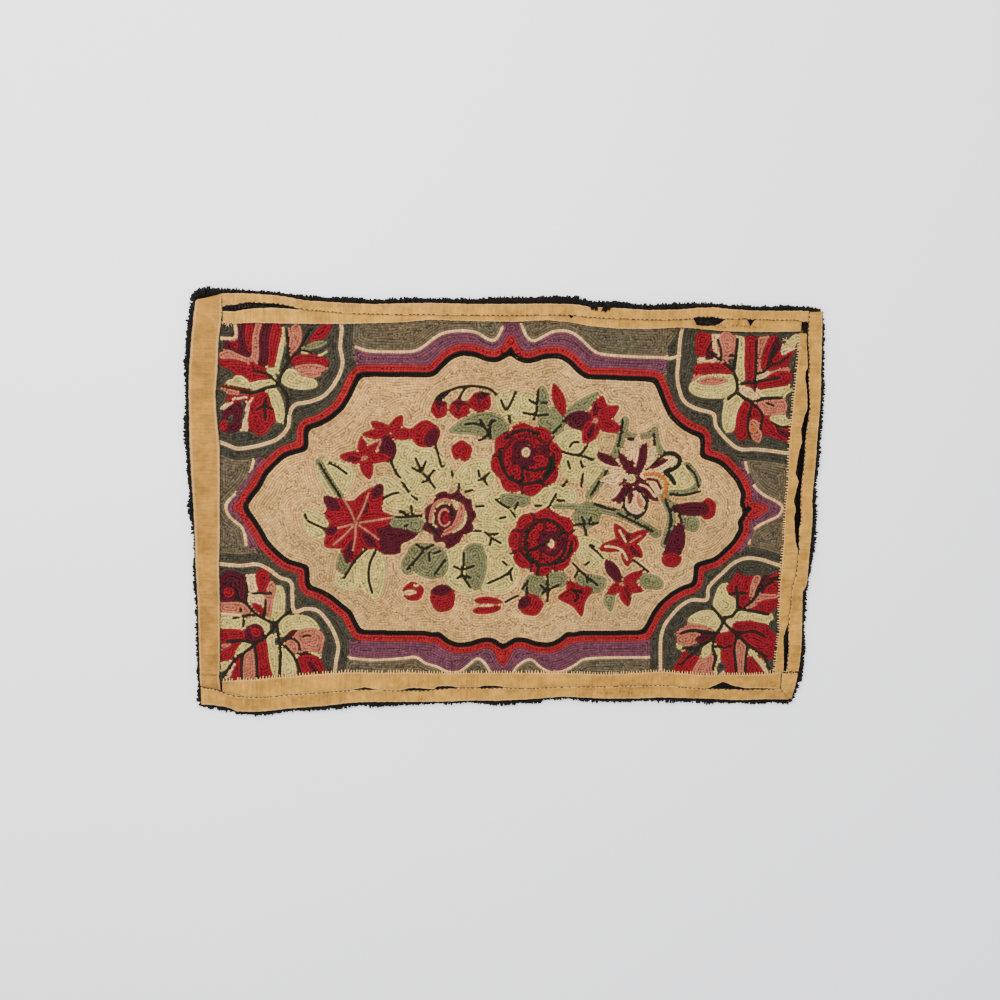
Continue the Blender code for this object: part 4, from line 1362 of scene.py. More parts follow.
def draw_roses(pattern):
    """The three roses at the middle."""
    p = pattern
    draw_rose(p, (19, 70), (50, 51), 12, (17, 77))
    p.line("stem", [(-12, 98), (4, 108), (20, 110), (36, 106)], 3.6)
    p.line("stem", [(-18, 84), (-15, 62), (-4, 44), (9, 40)], 4.2)
    p.line("stem", [(56, 78), (56, 60), (48, 46), (38, 38)], 4.4)
    p.line("stem", [(14, 62), (28, 55), (48, 60)], 3.4)
    p.line("stem", [(14, 62), (14, 40)], 3.4)
    p.petal("maroon", (36, 92), (50, 74), 12)
    p.blob("maroon", (14, 84), (15, 14))
    p.blob("cream", (18, 80), (6.5, 7.5))
    draw_rose(p, (46, -45), (50, 48), -4, (56, -46))
    p.line("stem", [(25, -30), (36, -17), (47, -13), (60, -17), (74, -31)], 4.4)
    p.line("stem", [(22, -30), (21, -50), (28, -66), (40, -76), (60, -75), (76, -70)], 4.4)
    p.line("stem", [(76, -70), (84, -58), (86, -44)], 4.0)
    p.line("stem", [(29, -56), (50, -45), (74, -31)], 3.8)
    p.line("maroon", [(46, -14), (47, -30), (44, -42)], 3.3)
    p.line("maroon", [(0, -62), (12, -56), (24, -50)], 3.3)
    p.line("stem", [(40, -76), (39, -92)], 3.4)
    p.petal("maroon", (64, -56), (74, -38), 9)
    p.arc("maroon", (57, -47), (11, 15), 20, 340, 4.4)
    p.blob("cream", (57, -47), (4.6, 7.5))

    p.patch("maroon", (-92, 25), (-84, 20), (-74, 26), (-64, 16), (-55, 14), (-55, 4), (-48, -8),
            (-54, -18), (-52, -30), (-66, -36), (-72, -46), (-88, -56), (-92, -46), (-106, -46),
            (-108, -36), (-122, -28), (-117, -14), (-119, 2), (-108, 8), (-104, 20))
    p.blob("leaf_cream", (-86, -10), (25, 24))
    p.line("pink", [(-112, -20), (-110, -4), (-104, 8), (-92, 13), (-82, 9)], 5.0)
    p.blob("maroon", (-94, -12), (13, 19))
    p.petal("maroon", (-84, 8), (-76, -22), 8)
    p.patch("pink", (-70, 10), (-64, 0), (-68, -18), (-82, -32), (-96, -38), (-94, -30),
            (-82, -22), (-76, -8))
    p.arc("pink", (-92, -12), (8, 12), 40, 320, 3.6)
    p.blob("red", (-90, -13), (4.5, 8))
    p.line("stem", [(-118, -10), (-113, -22), (-104, -32), (-98, -38)], 3.4)
    p.line("stem", [(-100, 2), (-92, 6), (-84, 2), (-80, -8)], 3.0)


def draw_lilies(pattern):
    """The red lily at the left and the striped lily at the right."""
    p = pattern
    first = p.count
    p.petal("maroon", (-196, -42), (-128, -36), 26, 0.4, 0.7)
    p.petal("maroon", (-190, -50), (-150, -60), 18, 0.5, 0.7)
    p.flower("red", (-213, -22), (-177, 33, 38), (-253, 14, 36), (-161, -11, 27),
             (-256, -8, 26), (-256, -54, 40), (-223, -77, 36), (-180, -58, 32))
    p.close_gaps(first, 3.4)
    p.petal("maroon", (-234, -4), (-256, 16), 16)
    p.petal("maroon", (-190, 12), (-177, 34), 15)
    p.petal("maroon", (-218, -44), (-226, -78), 12)
    p.petal("maroon", (-236, -30), (-256, -34), 12)
    p.petal("maroon", (-204, -34), (-186, -54), 12)
    p.petal("maroon", (-206, -10), (-196, 8), 9)
    for tip in ((-230, 14), (-195, 22), (-166, -13), (-238, -28), (-244, -52), (-217, -60),
                (-181, -44)):
        p.line("pink", [(-213, -21), ((-213 + tip[0]) / 2 + 1.5, (-21 + tip[1]) / 2), tip], 3.3)
    p.blob("pink", (-213, -21), (4.4, 4.4))

    p.flower("cream", (168, 46), (150, 88, 24), (174, 108, 26), (200, 94, 24), (232, 78, 24),
             (118, 76, 24), (122, 44, 20), (140, 10, 24), (212, 26, 26))
    p.flower("maroon", (168, 48), (146, 86, 12), (186, 98, 20), (140, 12, 16), (206, 14, 18))
    p.petal("cream", (171, 60), (171, 104), 9)
    p.petal("maroon", (152, 62), (116, 80), 13, 0.6, 0.7)
    p.petal("maroon", (160, 38), (148, 10), 15)
    p.petal("cream", (156, 40), (136, 14), 7)
    p.petal("rust", (186, 58), (218, 75), 8)
    p.petal("stem", (166, 34), (180, -10), 38, 0.55, 0.6)
    p.petal("cream", (166, 30), (180, -4), 29, 0.55, 0.6)
    p.petal("maroon", (168, 34), (164, 8), 8)
    p.petal("pink", (176, 26), (182, 4), 7)
    p.line("orange", [(184, 52), (200, 53), (212, 48), (217, 38), (214, 20)], 4.6)
    p.line("maroon", [(188, 46), (202, 44), (209, 32)], 3.6)
    p.line("cream", [(178, 38), (190, 34), (200, 22)], 3.4)
    p.blob("leaf_cream", (166, 46), (7, 7))
    p.line("stem", [(214, 82), (224, 82), (233, 76), (233, 67), (224, 60), (213, 56),
                    (222, 50), (228, 40)], 6.0)
    p.line("stem", [(196, 66), (206, 76), (216, 82)], 3.3)


def draw_small_flowers(pattern):
    """Small flowers, buds and berries round the roses."""
    p = pattern
    p.flower("red", (-166, 102), (-194, 118, 15), (-206, 100, 14), (-150, 128, 16),
             (-128, 102, 17))
    p.petal("maroon", (-172, 100), (-168, 62), 24, 0.5, 0.6)
    p.petal("pink", (-180, 96), (-184, 82), 8)
    p.blob("pink", (-166, 102), (3.4, 3.4))
    p.flower("red", (-201, 68), (-206, 98, 15), (-184, 90, 13), (-236, 70, 17), (-164, 70, 15),
             (-194, 38, 18))
    p.petal("maroon", (-208, 66), (-224, 68), 7)
    p.blob("pink", (-201, 68), (4.2, 4.2))
    p.blob("red", (-119, 102), (20, 19), 5, 0.08, 20)
    p.petal("maroon", (-104, 110), (-118, 84), 18, 0.5, 0.6)
    for centre, radii in (((-101, 136), (12, 13)), ((-74, 137), (15, 13)), ((-46, 147), (16, 14))):
        p.blob("red", centre, radii, 5, 0.12, 40)
        p.petal("maroon", (centre[0] - 10, centre[1] + 8), (centre[0] + 11, centre[1] + 8), 8)
        p.line("maroon", [(centre[0] - 2, centre[1] + 6), (centre[0] - 1, centre[1] - 4)], 3.0)
    p.blob("red", (-70, 80), (15, 15), 5, 0.14, 20)
    p.petal("beige", (-75, 60), (-72, 72), 7)
    p.petal("red", (53, 176), (70, 128), 17, 0.5, 0.8)
    p.petal("maroon", (118, 124), (68, 126), 27, 0.5, 0.8)
    p.flower("red", (113, 125), (122, 160, 22), (146, 146, 21), (152, 112, 20), (98, 92, 24))
    p.petal("maroon", (112, 130), (112, 150), 8)
    p.petal("maroon", (110, 120), (104, 100), 9)
    p.blob("pink", (113, 125), (5, 5))
    p.blob("red", (278, 5), (12, 16), 5, 0.1, 30)
    p.petal("maroon", (280, 5), (222, 4), 20, 0.35, 0.5)
    p.petal("maroon", (241, -12), (228, -66), 28, 0.6, 0.6)
    p.blob("red", (229, -68), (15, 12), 5, 0.08, 10)
    p.line("maroon", [(216, -60), (229, -56), (241, -60)], 3.3)
    p.flower("red", (164, -45), (144, -16, 17), (194, -26, 17), (188, -66, 19), (166, -80, 18),
             (122, -54, 18))
    p.petal("maroon", (168, -50), (182, -64), 8)
    p.petal("maroon", (164, -44), (166, -30), 6)
    p.line("cream", [(132, -50), (146, -51), (158, -56), (166, -70)], 3.4)
    p.line("cream", [(163, -44), (152, -26)], 3.3)
    p.line("pink", [(168, -44), (184, -34)], 3.3)
    p.petal("maroon", (162, -108), (134, -68), 18, 0.6, 0.8)
    p.flower("red", (160, -104), (190, -84, 15), (192, -114, 16), (170, -138, 18),
             (138, -118, 16))
    p.blob("pink", (160, -104), (4, 4))
    p.petal("maroon", (164, -108), (174, -128), 5)
    p.blob("red", (-134, -116), (15, 14), 5, 0.1, 20)
    p.petal("cream", (-152, -119), (-128, -116), 8)
    p.petal("cream", (-136, -106), (-126, -108), 4)
    p.blob("red", (-93, -126), (18, 20), 5, 0.1, 30)
    p.petal("maroon", (-112, -116), (-80, -112), 16)
    p.petal("red", (-50, -128), (-10, -130), 12, 0.5, 0.5)
    p.petal("red", (-52, -144), (-10, -138), 13, 0.5, 0.5)
    p.petal("cream", (-48, -136), (-18, -134), 5)
    p.blob("red", (31, -135), (18, 16), 5, 0.1, 10)
    p.petal("maroon", (12, -140), (30, -122), 16)
    p.patch("red", (82, -98), (100, -106), (118, -111), (108, -130), (104, -152), (90, -137),
            (68, -124), (80, -112))
    p.line("stem", [(86, -112), (94, -114), (104, -114)], 3.2)
    p.line("stem", [(92, -114), (98, -124), (92, -130)], 3.2)


STEM_LINES = (
    [(-104, 152), (-98, 157), (-88, 161), (-75, 166), (-55, 168), (-34, 165), (-24, 157)],
    [(-66, 166), (-71, 158), (-75, 151)], [(-45, 160), (-36, 157)],
    [(-106, 88), (-101, 72), (-97, 58), (-93, 60)],
    [(-18, 151), (-10, 137), (2, 161)], [(-7, 130), (-4, 119)],
    [(-31, 97), (-32, 110), (-31, 122), (-24, 122)], [(-33, 104), (-46, 124)],
    [(-40, 114), (-54, 118), (-67, 116)], [(-34, 102), (-40, 98), (-47, 95)],
    [(12, 134), (30, 131), (48, 132)], [(27, 124), (31, 136), (33, 166)],
    [(33, 147), (25, 148), (20, 152)], [(37, 148), (43, 148)],
    [(68, 124), (73, 124)], [(66, 119), (60, 113), (54, 106)],
    [(68, 82), (82, 78), (95, 77), (112, 71)], [(92, 77), (98, 84), (103, 91)],
    [(76, 70), (78, 64), (80, 58)], [(94, 70), (97, 60)], [(78, 88), (83, 95), (91, 95)],
    [(98, 52), (96, 33)], [(75, 40), (70, 33)],
    [(243, 66), (256, 54), (262, 38)], [(222, 26), (242, 24), (266, 30)],
    [(151, 126), (149, 108), (146, 90)], [(158, 101), (173, 101)], [(195, 110), (198, 84)],
    [(134, 62), (128, 49)], [(122, 42), (110, 22)], [(141, 43), (156, 45)],
    [(115, 11), (130, 5), (145, 2)], [(148, -2), (170, -13), (201, -28)],
    [(217, 15), (225, -4), (224, -24), (218, -45)], [(228, 10), (236, 0), (240, -13)],
    [(110, -49), (120, -56), (130, -66)], [(173, -68), (184, -76), (197, -86)],
    [(-133, 70), (-124, 52), (-114, 40), (-105, 28)], [(-118, 66), (-124, 52)],
    [(-137, 56), (-124, 50)], [(-107, 54), (-116, 42)], [(-124, 36), (-114, 40)],
    [(-167, 67), (-158, 48), (-152, 42)], [(-149, 35), (-141, 22)],
    [(-261, 60), (-250, 41), (-236, 20), (-233, 14)], [(-249, 61), (-238, 56), (-224, 46)],
    [(-281, -9), (-279, -16)], [(-277, -19), (-266, -24), (-255, -29)],
    [(-200, -58), (-214, -73), (-229, -98)], [(-185, -57), (-194, -78), (-195, -100), (-190, -119)],
    [(-158, -12), (-140, -11), (-123, -9)], [(-138, 5), (-136, -10)], [(-154, -3), (-143, -8)],
    [(-142, -22), (-147, -25)], [(-173, 15), (-164, 20), (-154, 22)], [(-138, 19), (-129, 12)],
    [(-106, -49), (-119, -57), (-128, -68), (-143, -85)], [(-131, -49), (-119, -57)],
    [(-113, -60), (-112, -73)], [(-90, -70), (-97, -80), (-105, -92)],
    [(-65, -60), (-65, -78), (-66, -92), (-55, -110)], [(-79, -80), (-66, -84), (-50, -79)],
    [(-74, -97), (-66, -93), (-54, -96)], [(-11, -72), (-4, -78)],
    [(4, -81), (-4, -90), (-14, -96), (-31, -104)], [(0, -88), (3, -100)],
    [(-50, -30), (-41, -30)], [(-37, -31), (-22, -42), (-13, -47)], [(-28, -35), (-17, -33)],
    [(-27, -38), (-29, -50)], [(-23, 15), (-14, 8), (-5, 3)], [(9, 11), (4, 0)],
    [(0, -2), (6, -10)], [(-17, -12), (-7, -10)], [(-50, 4), (-38, 5)], [(62, 24), (52, 5)],
    [(62, 14), (74, 14)], [(32, 6), (42, 7)], [(-47, 55), (-45, 45)],
    [(-32, 51), (-39, 44), (-47, 40)], [(-39, 42), (-34, 34)], [(-83, 53), (-82, 45)],
    [(-73, 36), (-73, 25)], [(-65, 24), (-54, 27)], [(26, -99), (22, -106), (17, -112)],
    [(25, -108), (24, -120)], [(-6, -131), (2, -126), (12, -121)], [(53, -93), (54, -112), (54, -130)],
    [(43, -106), (54, -112), (70, -105)], [(88, -74), (98, -84), (110, -94), (125, -106)],
    [(97, -84), (91, -95)], [(105, -77), (112, -72)], [(109, -92), (110, -102)],
    [(118, -100), (110, -95)], [(80, -27), (88, -20), (104, -19), (122, -17)],
    [(98, -8), (104, -18)], [(112, -8), (108, -18)], [(102, -20), (106, -35)],
    [(111, -48), (118, -50)], [(-106, -62), (-96, -58)], [(54, -112), (46, -118)],
)


def draw_stems(pattern):
    """Dark stems, veins and outlines of the leaves."""
    for points in STEM_LINES:
        pattern.line("stem", points, 3.4)
    pattern.petal("stem", (-108, 148), (-88, 160), 8)


def draw_bouquet(pattern):
    """Flowers, leaves and sprigs of the field."""
    draw_leaf_grounds(pattern)
    draw_small_flowers(pattern)
    draw_stems(pattern)
    draw_lilies(pattern)
    draw_roses(pattern)


# Colours of a tape's edges: its paler woven edge, and a dark brown line of painted shade along the
# very edge; and the sockets of a node that mixes two colours
SELVEDGE = (0.66, 0.46, 0.22, 1.0)
EDGE_LINE_PAINTED_SHADE = (0.10, 0.052, 0.018, 1.0)
MIX_FIRST, MIX_SECOND, MIX_RESULT = 6, 7, 2


# Materials
def wool_material(name, relief, sheen):
    """Wool whose colour comes from each loop, with fibres that run along it."""
    material, tree, shader = add_shader(name)
    yarn = node(tree, "ShaderNodeAttribute", attribute_name="yarn")
    strand = node(tree, "ShaderNodeUVMap", uv_map="strand")
    fibres = node(tree, "ShaderNodeTexNoise", Scale=1.0, Detail=3.0, Roughness=0.65)
    stretch = node(tree, "ShaderNodeMapping", vector_type="POINT", Scale=(0.9, 4.2, 1.0))
    shade = map_range(tree, 0.3, 0.7, 0.8, 1.16)
    place = node(tree, "ShaderNodeTexCoord")
    mottle = node(tree, "ShaderNodeTexNoise", Scale=38.0, Detail=2.0)
    tone = map_range(tree, 0.3, 0.7, 0.92, 1.08)
    both = node(tree, "ShaderNodeMath", operation="MULTIPLY")
    tint = node(tree, "ShaderNodeVectorMath", operation="SCALE")
    wire(strand, "UV", stretch, "Vector")
    wire(stretch, "Vector", fibres, "Vector")
    wire(fibres, "Fac", shade, "Value")
    wire(place, "Object", mottle, "Vector")
    wire(mottle, "Fac", tone, "Value")
    wire(shade, "Result", both, 0)
    wire(tone, "Result", both, 1)
    wire(yarn, "Color", tint, 0)
    wire(both, "Value", tint, "Scale")
    wire(tint, "Vector", shader, "Base Color")
    raise_surface(fibres, "Fac", shader, 0.6, relief)
    set_shine(shader, 0.95, 0.15)
    shader.inputs["Sheen Weight"].default_value = sheen
    return material


def tape_material(name, colour, settings):
    """Cotton tape with fine ribs, a worn mottle, paler woven edges and a dark line of painted shade
    along the very edges.
    """
    material, tree, shader = add_shader(name)
    weave = node(tree, "ShaderNodeUVMap", uv_map="weave")
    place = node(tree, "ShaderNodeTexCoord")
    selvedge = node(tree, "ShaderNodeAttribute", attribute_name="selvedge")

    # Ribs, a faint twill and streaks along the weave
    ribs = node(tree, "ShaderNodeTexWave", wave_type="BANDS", bands_direction="X",
                Scale=MM / settings.rib_pitch * 0.32, Distortion=1.4, Detail=2.0)
    ribs.inputs["Detail Scale"].default_value = 1.5
    twill = node(tree, "ShaderNodeTexWave", wave_type="BANDS", bands_direction="DIAGONAL",
                 Scale=0.55, Distortion=0.8, Detail=1.0)
    relief = node(tree, "ShaderNodeMath", operation="ADD")
    line = map_range(tree, 0.2, 1.8, 0.7, 1.2)
    stretch = node(tree, "ShaderNodeMapping", vector_type="POINT", Scale=(0.45, 0.04, 1.0))
    streaks = node(tree, "ShaderNodeTexNoise", Scale=1.0, Detail=2.0)
    streak = map_range(tree, 0.3, 0.7, 0.8, 1.14)
    wire(weave, "UV", ribs, "Vector")
    wire(weave, "UV", twill, "Vector")
    wire(ribs, "Fac", relief, 0)
    wire(twill, "Fac", relief, 1)
    wire(relief, "Value", line, "Value")
    wire(weave, "UV", stretch, "Vector")
    wire(stretch, "Vector", streaks, "Vector")
    wire(streaks, "Fac", streak, "Value")

    # Wear and grain
    wear = node(tree, "ShaderNodeTexNoise", Scale=55.0, Detail=5.0, Roughness=0.6)
    stain = color_ramp(tree, (0.32, shaded(colour, 0.6)), (0.72, shaded(colour, 1.18)))
    grain = node(tree, "ShaderNodeTexNoise", Scale=900.0, Detail=2.0)
    speck = map_range(tree, 0.3, 0.7, 0.88, 1.1)
    both = node(tree, "ShaderNodeMath", operation="MULTIPLY")
    all_three = node(tree, "ShaderNodeMath", operation="MULTIPLY")
    tint = node(tree, "ShaderNodeVectorMath", operation="SCALE")
    wire(place, "Object", wear, "Vector")
    wire(wear, "Fac", stain, "Fac")
    wire(place, "Object", grain, "Vector")
    wire(grain, "Fac", speck, "Value")
    wire(line, "Result", both, 0)
    wire(speck, "Result", both, 1)
    wire(both, "Value", all_three, 0)
    wire(streak, "Result", all_three, 1)
    wire(stain, "Color", tint, 0)
    wire(all_three, "Value", tint, "Scale")

    # Pale woven edges, and a dark line of painted shade along the very edges
    under, under_socket = tint, "Vector"
    for start, stop, share, edge_colour in ((0.78, 0.9, 0.3, SELVEDGE), (0.94, 1.0, 0.8, EDGE_LINE_PAINTED_SHADE)):
        reach = map_range(tree, start, stop, 0.0, share)
        mixed = node(tree, "ShaderNodeMix", data_type="RGBA")
        mixed.inputs[MIX_SECOND].default_value = edge_colour
        wire(selvedge, "Fac", reach, "Value")
        wire(reach, "Result", mixed, 0)
        wire(under, under_socket, mixed, MIX_FIRST)
        under, under_socket = mixed, MIX_RESULT
    wire(under, under_socket, shader, "Base Color")
    raise_surface(relief, "Value", shader, 0.5, 0.0004)
    set_shine(shader, 0.9, 0.2)
    return material


def thread_material(name, colour):
    """Twisted thread with a little unevenness."""
    material, tree, shader = add_shader(name)
    place = node(tree, "ShaderNodeTexCoord")
    noise = node(tree, "ShaderNodeTexNoise", Scale=420.0, Detail=2.0)
    ramp = color_ramp(tree, (0.3, shaded(colour, 0.6)), (0.7, shaded(colour, 1.25)))
    wire(place, "Object", noise, "Vector")
    wire(noise, "Fac", ramp, "Fac")
    wire(ramp, "Color", shader, "Base Color")
    raise_surface(noise, "Fac", shader, 0.5, 0.0002)
    set_shine(shader, 0.85)
    return material


# Many like shapes joined into one mesh: each has a tile of the baking map to itself, and a
# place of its own on the map that the fibres follow
TILE_FILL = 0.86
STRAND_SIZE = (4.5, 3.3)
STRAND_SHIFT = 7.31


def lie_along_x(bm):
    """Turn a shape that stands up so that it lies along X."""
    turn = Euler((0, math.radians(90), 0)).to_matrix()
    bmesh.ops.rotate(bm, verts=bm.verts, cent=(0, 0, 0), matrix=turn)


def shape_arrays(bm):
    """Places, face sizes and corner numbers of a small shape."""
    bm.verts.index_update()
    places = np.array([vert.co for vert in bm.verts], float)
    sizes = np.array([len(face.verts) for face in bm.faces])
    corners = np.array([vert.index for face in bm.faces for vert in face.verts])
    bm.free()
    return places, sizes, corners


def joined_mesh(name, shape, copies, shades=None):
    """One mesh from copies of a small shape, each an array of places in metres."""
    places, sizes, corners = shape
    count = len(copies)
    mesh = bpy.data.meshes.new(name)
    mesh.vertices.add(count * len(places))
    mesh.vertices.foreach_set("co", copies.astype(np.float32).ravel())
    all_corners = corners[None, :] + (np.arange(count) * len(places))[:, None]
    all_sizes = np.tile(sizes, count)
    starts = np.concatenate([[0], np.cumsum(all_sizes)[:-1]])
    mesh.loops.add(all_corners.size)
    mesh.loops.foreach_set("vertex_index", all_corners.ravel().astype(np.int32))
    mesh.polygons.add(len(all_sizes))
    mesh.polygons.foreach_set("loop_start", starts.astype(np.int32))
    mesh.polygons.foreach_set("use_smooth", np.ones(len(all_sizes), bool))
    mesh.update(calc_edges=True)

    tiles = math.ceil(math.sqrt(count))
    index = np.arange(count)
    corner = np.stack([index % tiles, index // tiles], 1)
    span = np.abs(places[:, :2]).max(0)
    local = places[corners][:, :2] / (2 * span) * TILE_FILL + 0.5
    baked = (corner[:, None, :] + local[None, :, :]) / tiles
    mesh.uv_layers.new(name="OFBake")
    mesh.uv_layers["OFBake"].data.foreach_set("uv", baked.astype(np.float32).ravel())
    own = places[corners][:, :2] * STRAND_SIZE
    strand = own[None, :, :] + (index * STRAND_SHIFT)[:, None, None]
    mesh.uv_layers.new(name="strand")
    mesh.uv_layers["strand"].data.foreach_set("uv", strand.astype(np.float32).ravel())
    if shades is not None:
        set_yarn(mesh, np.repeat(shades, len(places), 0))
    mesh.validate()
    return mesh


def turned_places(x, y, turn, along, across, height):
    """Points of copies that are each turned and put in place, in metres."""
    cosine, sine = np.cos(turn)[:, None], np.sin(turn)[:, None]
    return place_in_frame(np.stack([x[:, None] + along * cosine - across * sine,
                                    y[:, None] + along * sine + across * cosine, height], -1))


def loop_shape():
    """Upper half of one hooked loop, lying along X in a box of unit size."""
    bm = bmesh.new()
    bmesh.ops.create_uvsphere(bm, u_segments=8, v_segments=4, radius=0.5)
    lie_along_x(bm)
    bmesh.ops.bisect_plane(bm, geom=bm.verts[:] + bm.edges[:] + bm.faces[:], dist=0.01,
                           plane_co=(0, 0, 0), plane_no=(0, 0, -1), clear_outer=True)
    for vert in bm.verts:
        if 0.2 < abs(vert.co.x) < 0.45:
            vert.co.y *= 1.3
            vert.co.z *= 1.3
            vert.co.x *= 1.2
        vert.co.z *= 2.0
    return shape_arrays(bm)


# How uneven a yarn's dyeing is, where it isn't as even as the others
UNEVENNESS = {"olive": 0.20, "mauve": 0.15, "charcoal": 0.2, "beige": 0.11}


def yarn_shade(stitch, colours, draw):
    """Colour of one loop: its yarn with the dyeing's unevenness."""
    name = YARN_NAMES[stitch.yarn]
    base = np.array(colours[name])
    tone = 1.0 + draw.gauss(0.0, UNEVENNESS.get(name, 0.12))
    warm = draw.gauss(0.0, 0.03)
    if name == "beige":
        tone *= 1.0 + 0.07 * math.sin(stitch.x / 47 + stitch.y / 31)
        tone *= 1.0 + 0.05 * math.sin(stitch.x / 13 - 1.4 * math.sin(stitch.y / 17))
        warm += 0.03 * math.sin(stitch.x / 83 - stitch.y / 57)
        if draw.random() < 0.12:
            tone *= 0.68
    if name == "border_red":
        warm += 0.06 * math.sin(stitch.x / 19) * math.cos(stitch.y / 23)
    if name == "olive":
        warm += 0.05 * math.sin(stitch.x / 29)
    mixed = base * clamp(tone, 0.45, 1.5) * np.array([1.0 + warm, 1.0, 1.0 - warm])
    return np.clip(mixed, 0.0, 1.0)


PIECES = {FIELD: "rows_field", BORDER: "rows_border", CORNERS: "rows_corners",
          BLOOMS: "rows_bouquet"}
DRAWN = {}


def drawn_pattern():
    """The rug's pattern, drawn once and kept."""
    if not DRAWN:
        pattern = Pattern()
        draw_medallion(pattern)
        pattern.layer = CORNERS
        draw_corner_top_left(pattern)
        draw_corner_top_right(pattern)
        draw_corner_bottom_left(pattern)
        draw_corner_bottom_right(pattern)
        pattern.layer = BLOOMS
        draw_bouquet(pattern)
        draw_rim_ground(pattern)
        DRAWN["pattern"] = pattern
    return DRAWN["pattern"]


def draw_rim_ground(pattern):
    """Black wool under the tapes, seen where they stand apart."""
    x, y = pattern.x, pattern.y
    rim = (y > TOP_INNER_NEAR(x) + 4) | (y < BOTTOM_INNER_NEAR(x) - 4)
    rim |= (x < LEFT_NEAR(y) - 4) | (x > RIGHT_INNER_NEAR(y) + 4)
    pattern.layer = BORDER
    pattern.paint(EVERYWHERE, rim, "black")


def build_rows(settings, colours):
    """Hooked rows as joined loops, one piece for each part of the pattern."""
    shape = loop_shape()
    stitches = hook_rows(drawn_pattern(), settings)
    draw = random.Random(17)
    material = wool_material("hooked_wool", 0.0003, 0.03)
    yarns = {name: tuple(getattr(colours, name)) for name in YARN_NAMES}
    depth = settings.row_depth / MM
    made = []
    for group, title in PIECES.items():
        own = sorted((s for s in stitches if s.group == group), key=lambda s: s.x)
        if not own:
            raise RuntimeError("no hooked row was laid for " + title)
        x, y, turn, length, width = np.array([s[:5] for s in own]).T
        rise = np.array([draw.uniform(-0.1, 0.12) for _ in own])
        lean = np.array([draw.uniform(-0.05, 0.05) for _ in own])
        shades = np.array([yarn_shade(s, yarns, draw) for s in own])
        local = shape[0][None, :, :]
        along = local[..., 0] * length[:, None]
        across = local[..., 1] * width[:, None]
        foot = ground_height(x, y) - depth
        height = foot[:, None] + local[..., 2] * (depth + 0.1 + rise)[:, None]
        height = height + along * lean[:, None]
        places = turned_places(x, y, turn, along, across, height)
        mesh = joined_mesh(title, shape, places, shades)
        made.append(add_piece(title, mesh, material))
    return made


# The ground and its pile
SLAB_START = (-425.0, -275.0)
SLAB_SPAN = (852.0, 552.0)
SLAB_STEP = 5.2
SLAB_FOOT = 0.25
BACKING_MARGIN = 0.8
PILE_MARGIN = 2.0
PILE_SHARE = 0.84
PILE_ROUGHNESS = 0.9
# Painted shade: the cloth seen between the rows takes the pattern's colour darkened by this share
CLOTH_PAINTED_SHADE = 0.5
PILE_SHADE = 0.95

# The cloth drops a little at the two ends, from this distance on and over this width
DROP_START = 425.0
DROP_WIDTH = 6.0
DROP = 0.6


def side_lines():
    """Readers of the bound edge on the four sides."""
    return (column_reader(LEFT, "far"), column_reader(RIGHT, "outer_far"),
            column_reader(BOTTOM, "outer_far"), column_reader(TOP, "outer_far"))


def spread_over_rug(share_x, share_y, margin, pile_share=0.0):
    """Places that spread evenly over the rug out to a margin past its bound edge."""
    left, right, bottom, top = side_lines()
    piles = [column_reader(rows, "pile") for rows in (LEFT_PILE, RIGHT_PILE, BOTTOM_PILE,
                                                      TOP_PILE)]
    x = SLAB_START[0] + SLAB_SPAN[0] * share_x
    y = SLAB_START[1] + SLAB_SPAN[1] * share_y
    for _ in range(4):
        reach = [margin + pile_share * pile(place) for pile, place in zip(piles, (y, y, x, x))]
        low_x, high_x = left(y) - reach[0], right(y) + reach[1]
        low_y, high_y = bottom(x) - reach[2], top(x) + reach[3]
        x = low_x + (high_x - low_x) * share_x
        y = low_y + (high_y - low_y) * share_y
    for corner, side_x, side_y in ((TOP_LEFT, -1, 1), (TOP_RIGHT, 1, 1),
                                   (BOTTOM_RIGHT, 1, -1), (BOTTOM_LEFT, -1, -1)):
        away_x, away_y = (x - corner.x) * side_x, (y - corner.y) * side_y
        inside = (away_x > 0) & (away_y > 0)
        square = np.maximum(away_x, away_y)
        fit = np.where(inside, square / np.maximum(np.hypot(away_x, away_y), 0.001), 1.0)
        x = corner.x + (x - corner.x) * fit
        y = corner.y + (y - corner.y) * fit
    return x, y


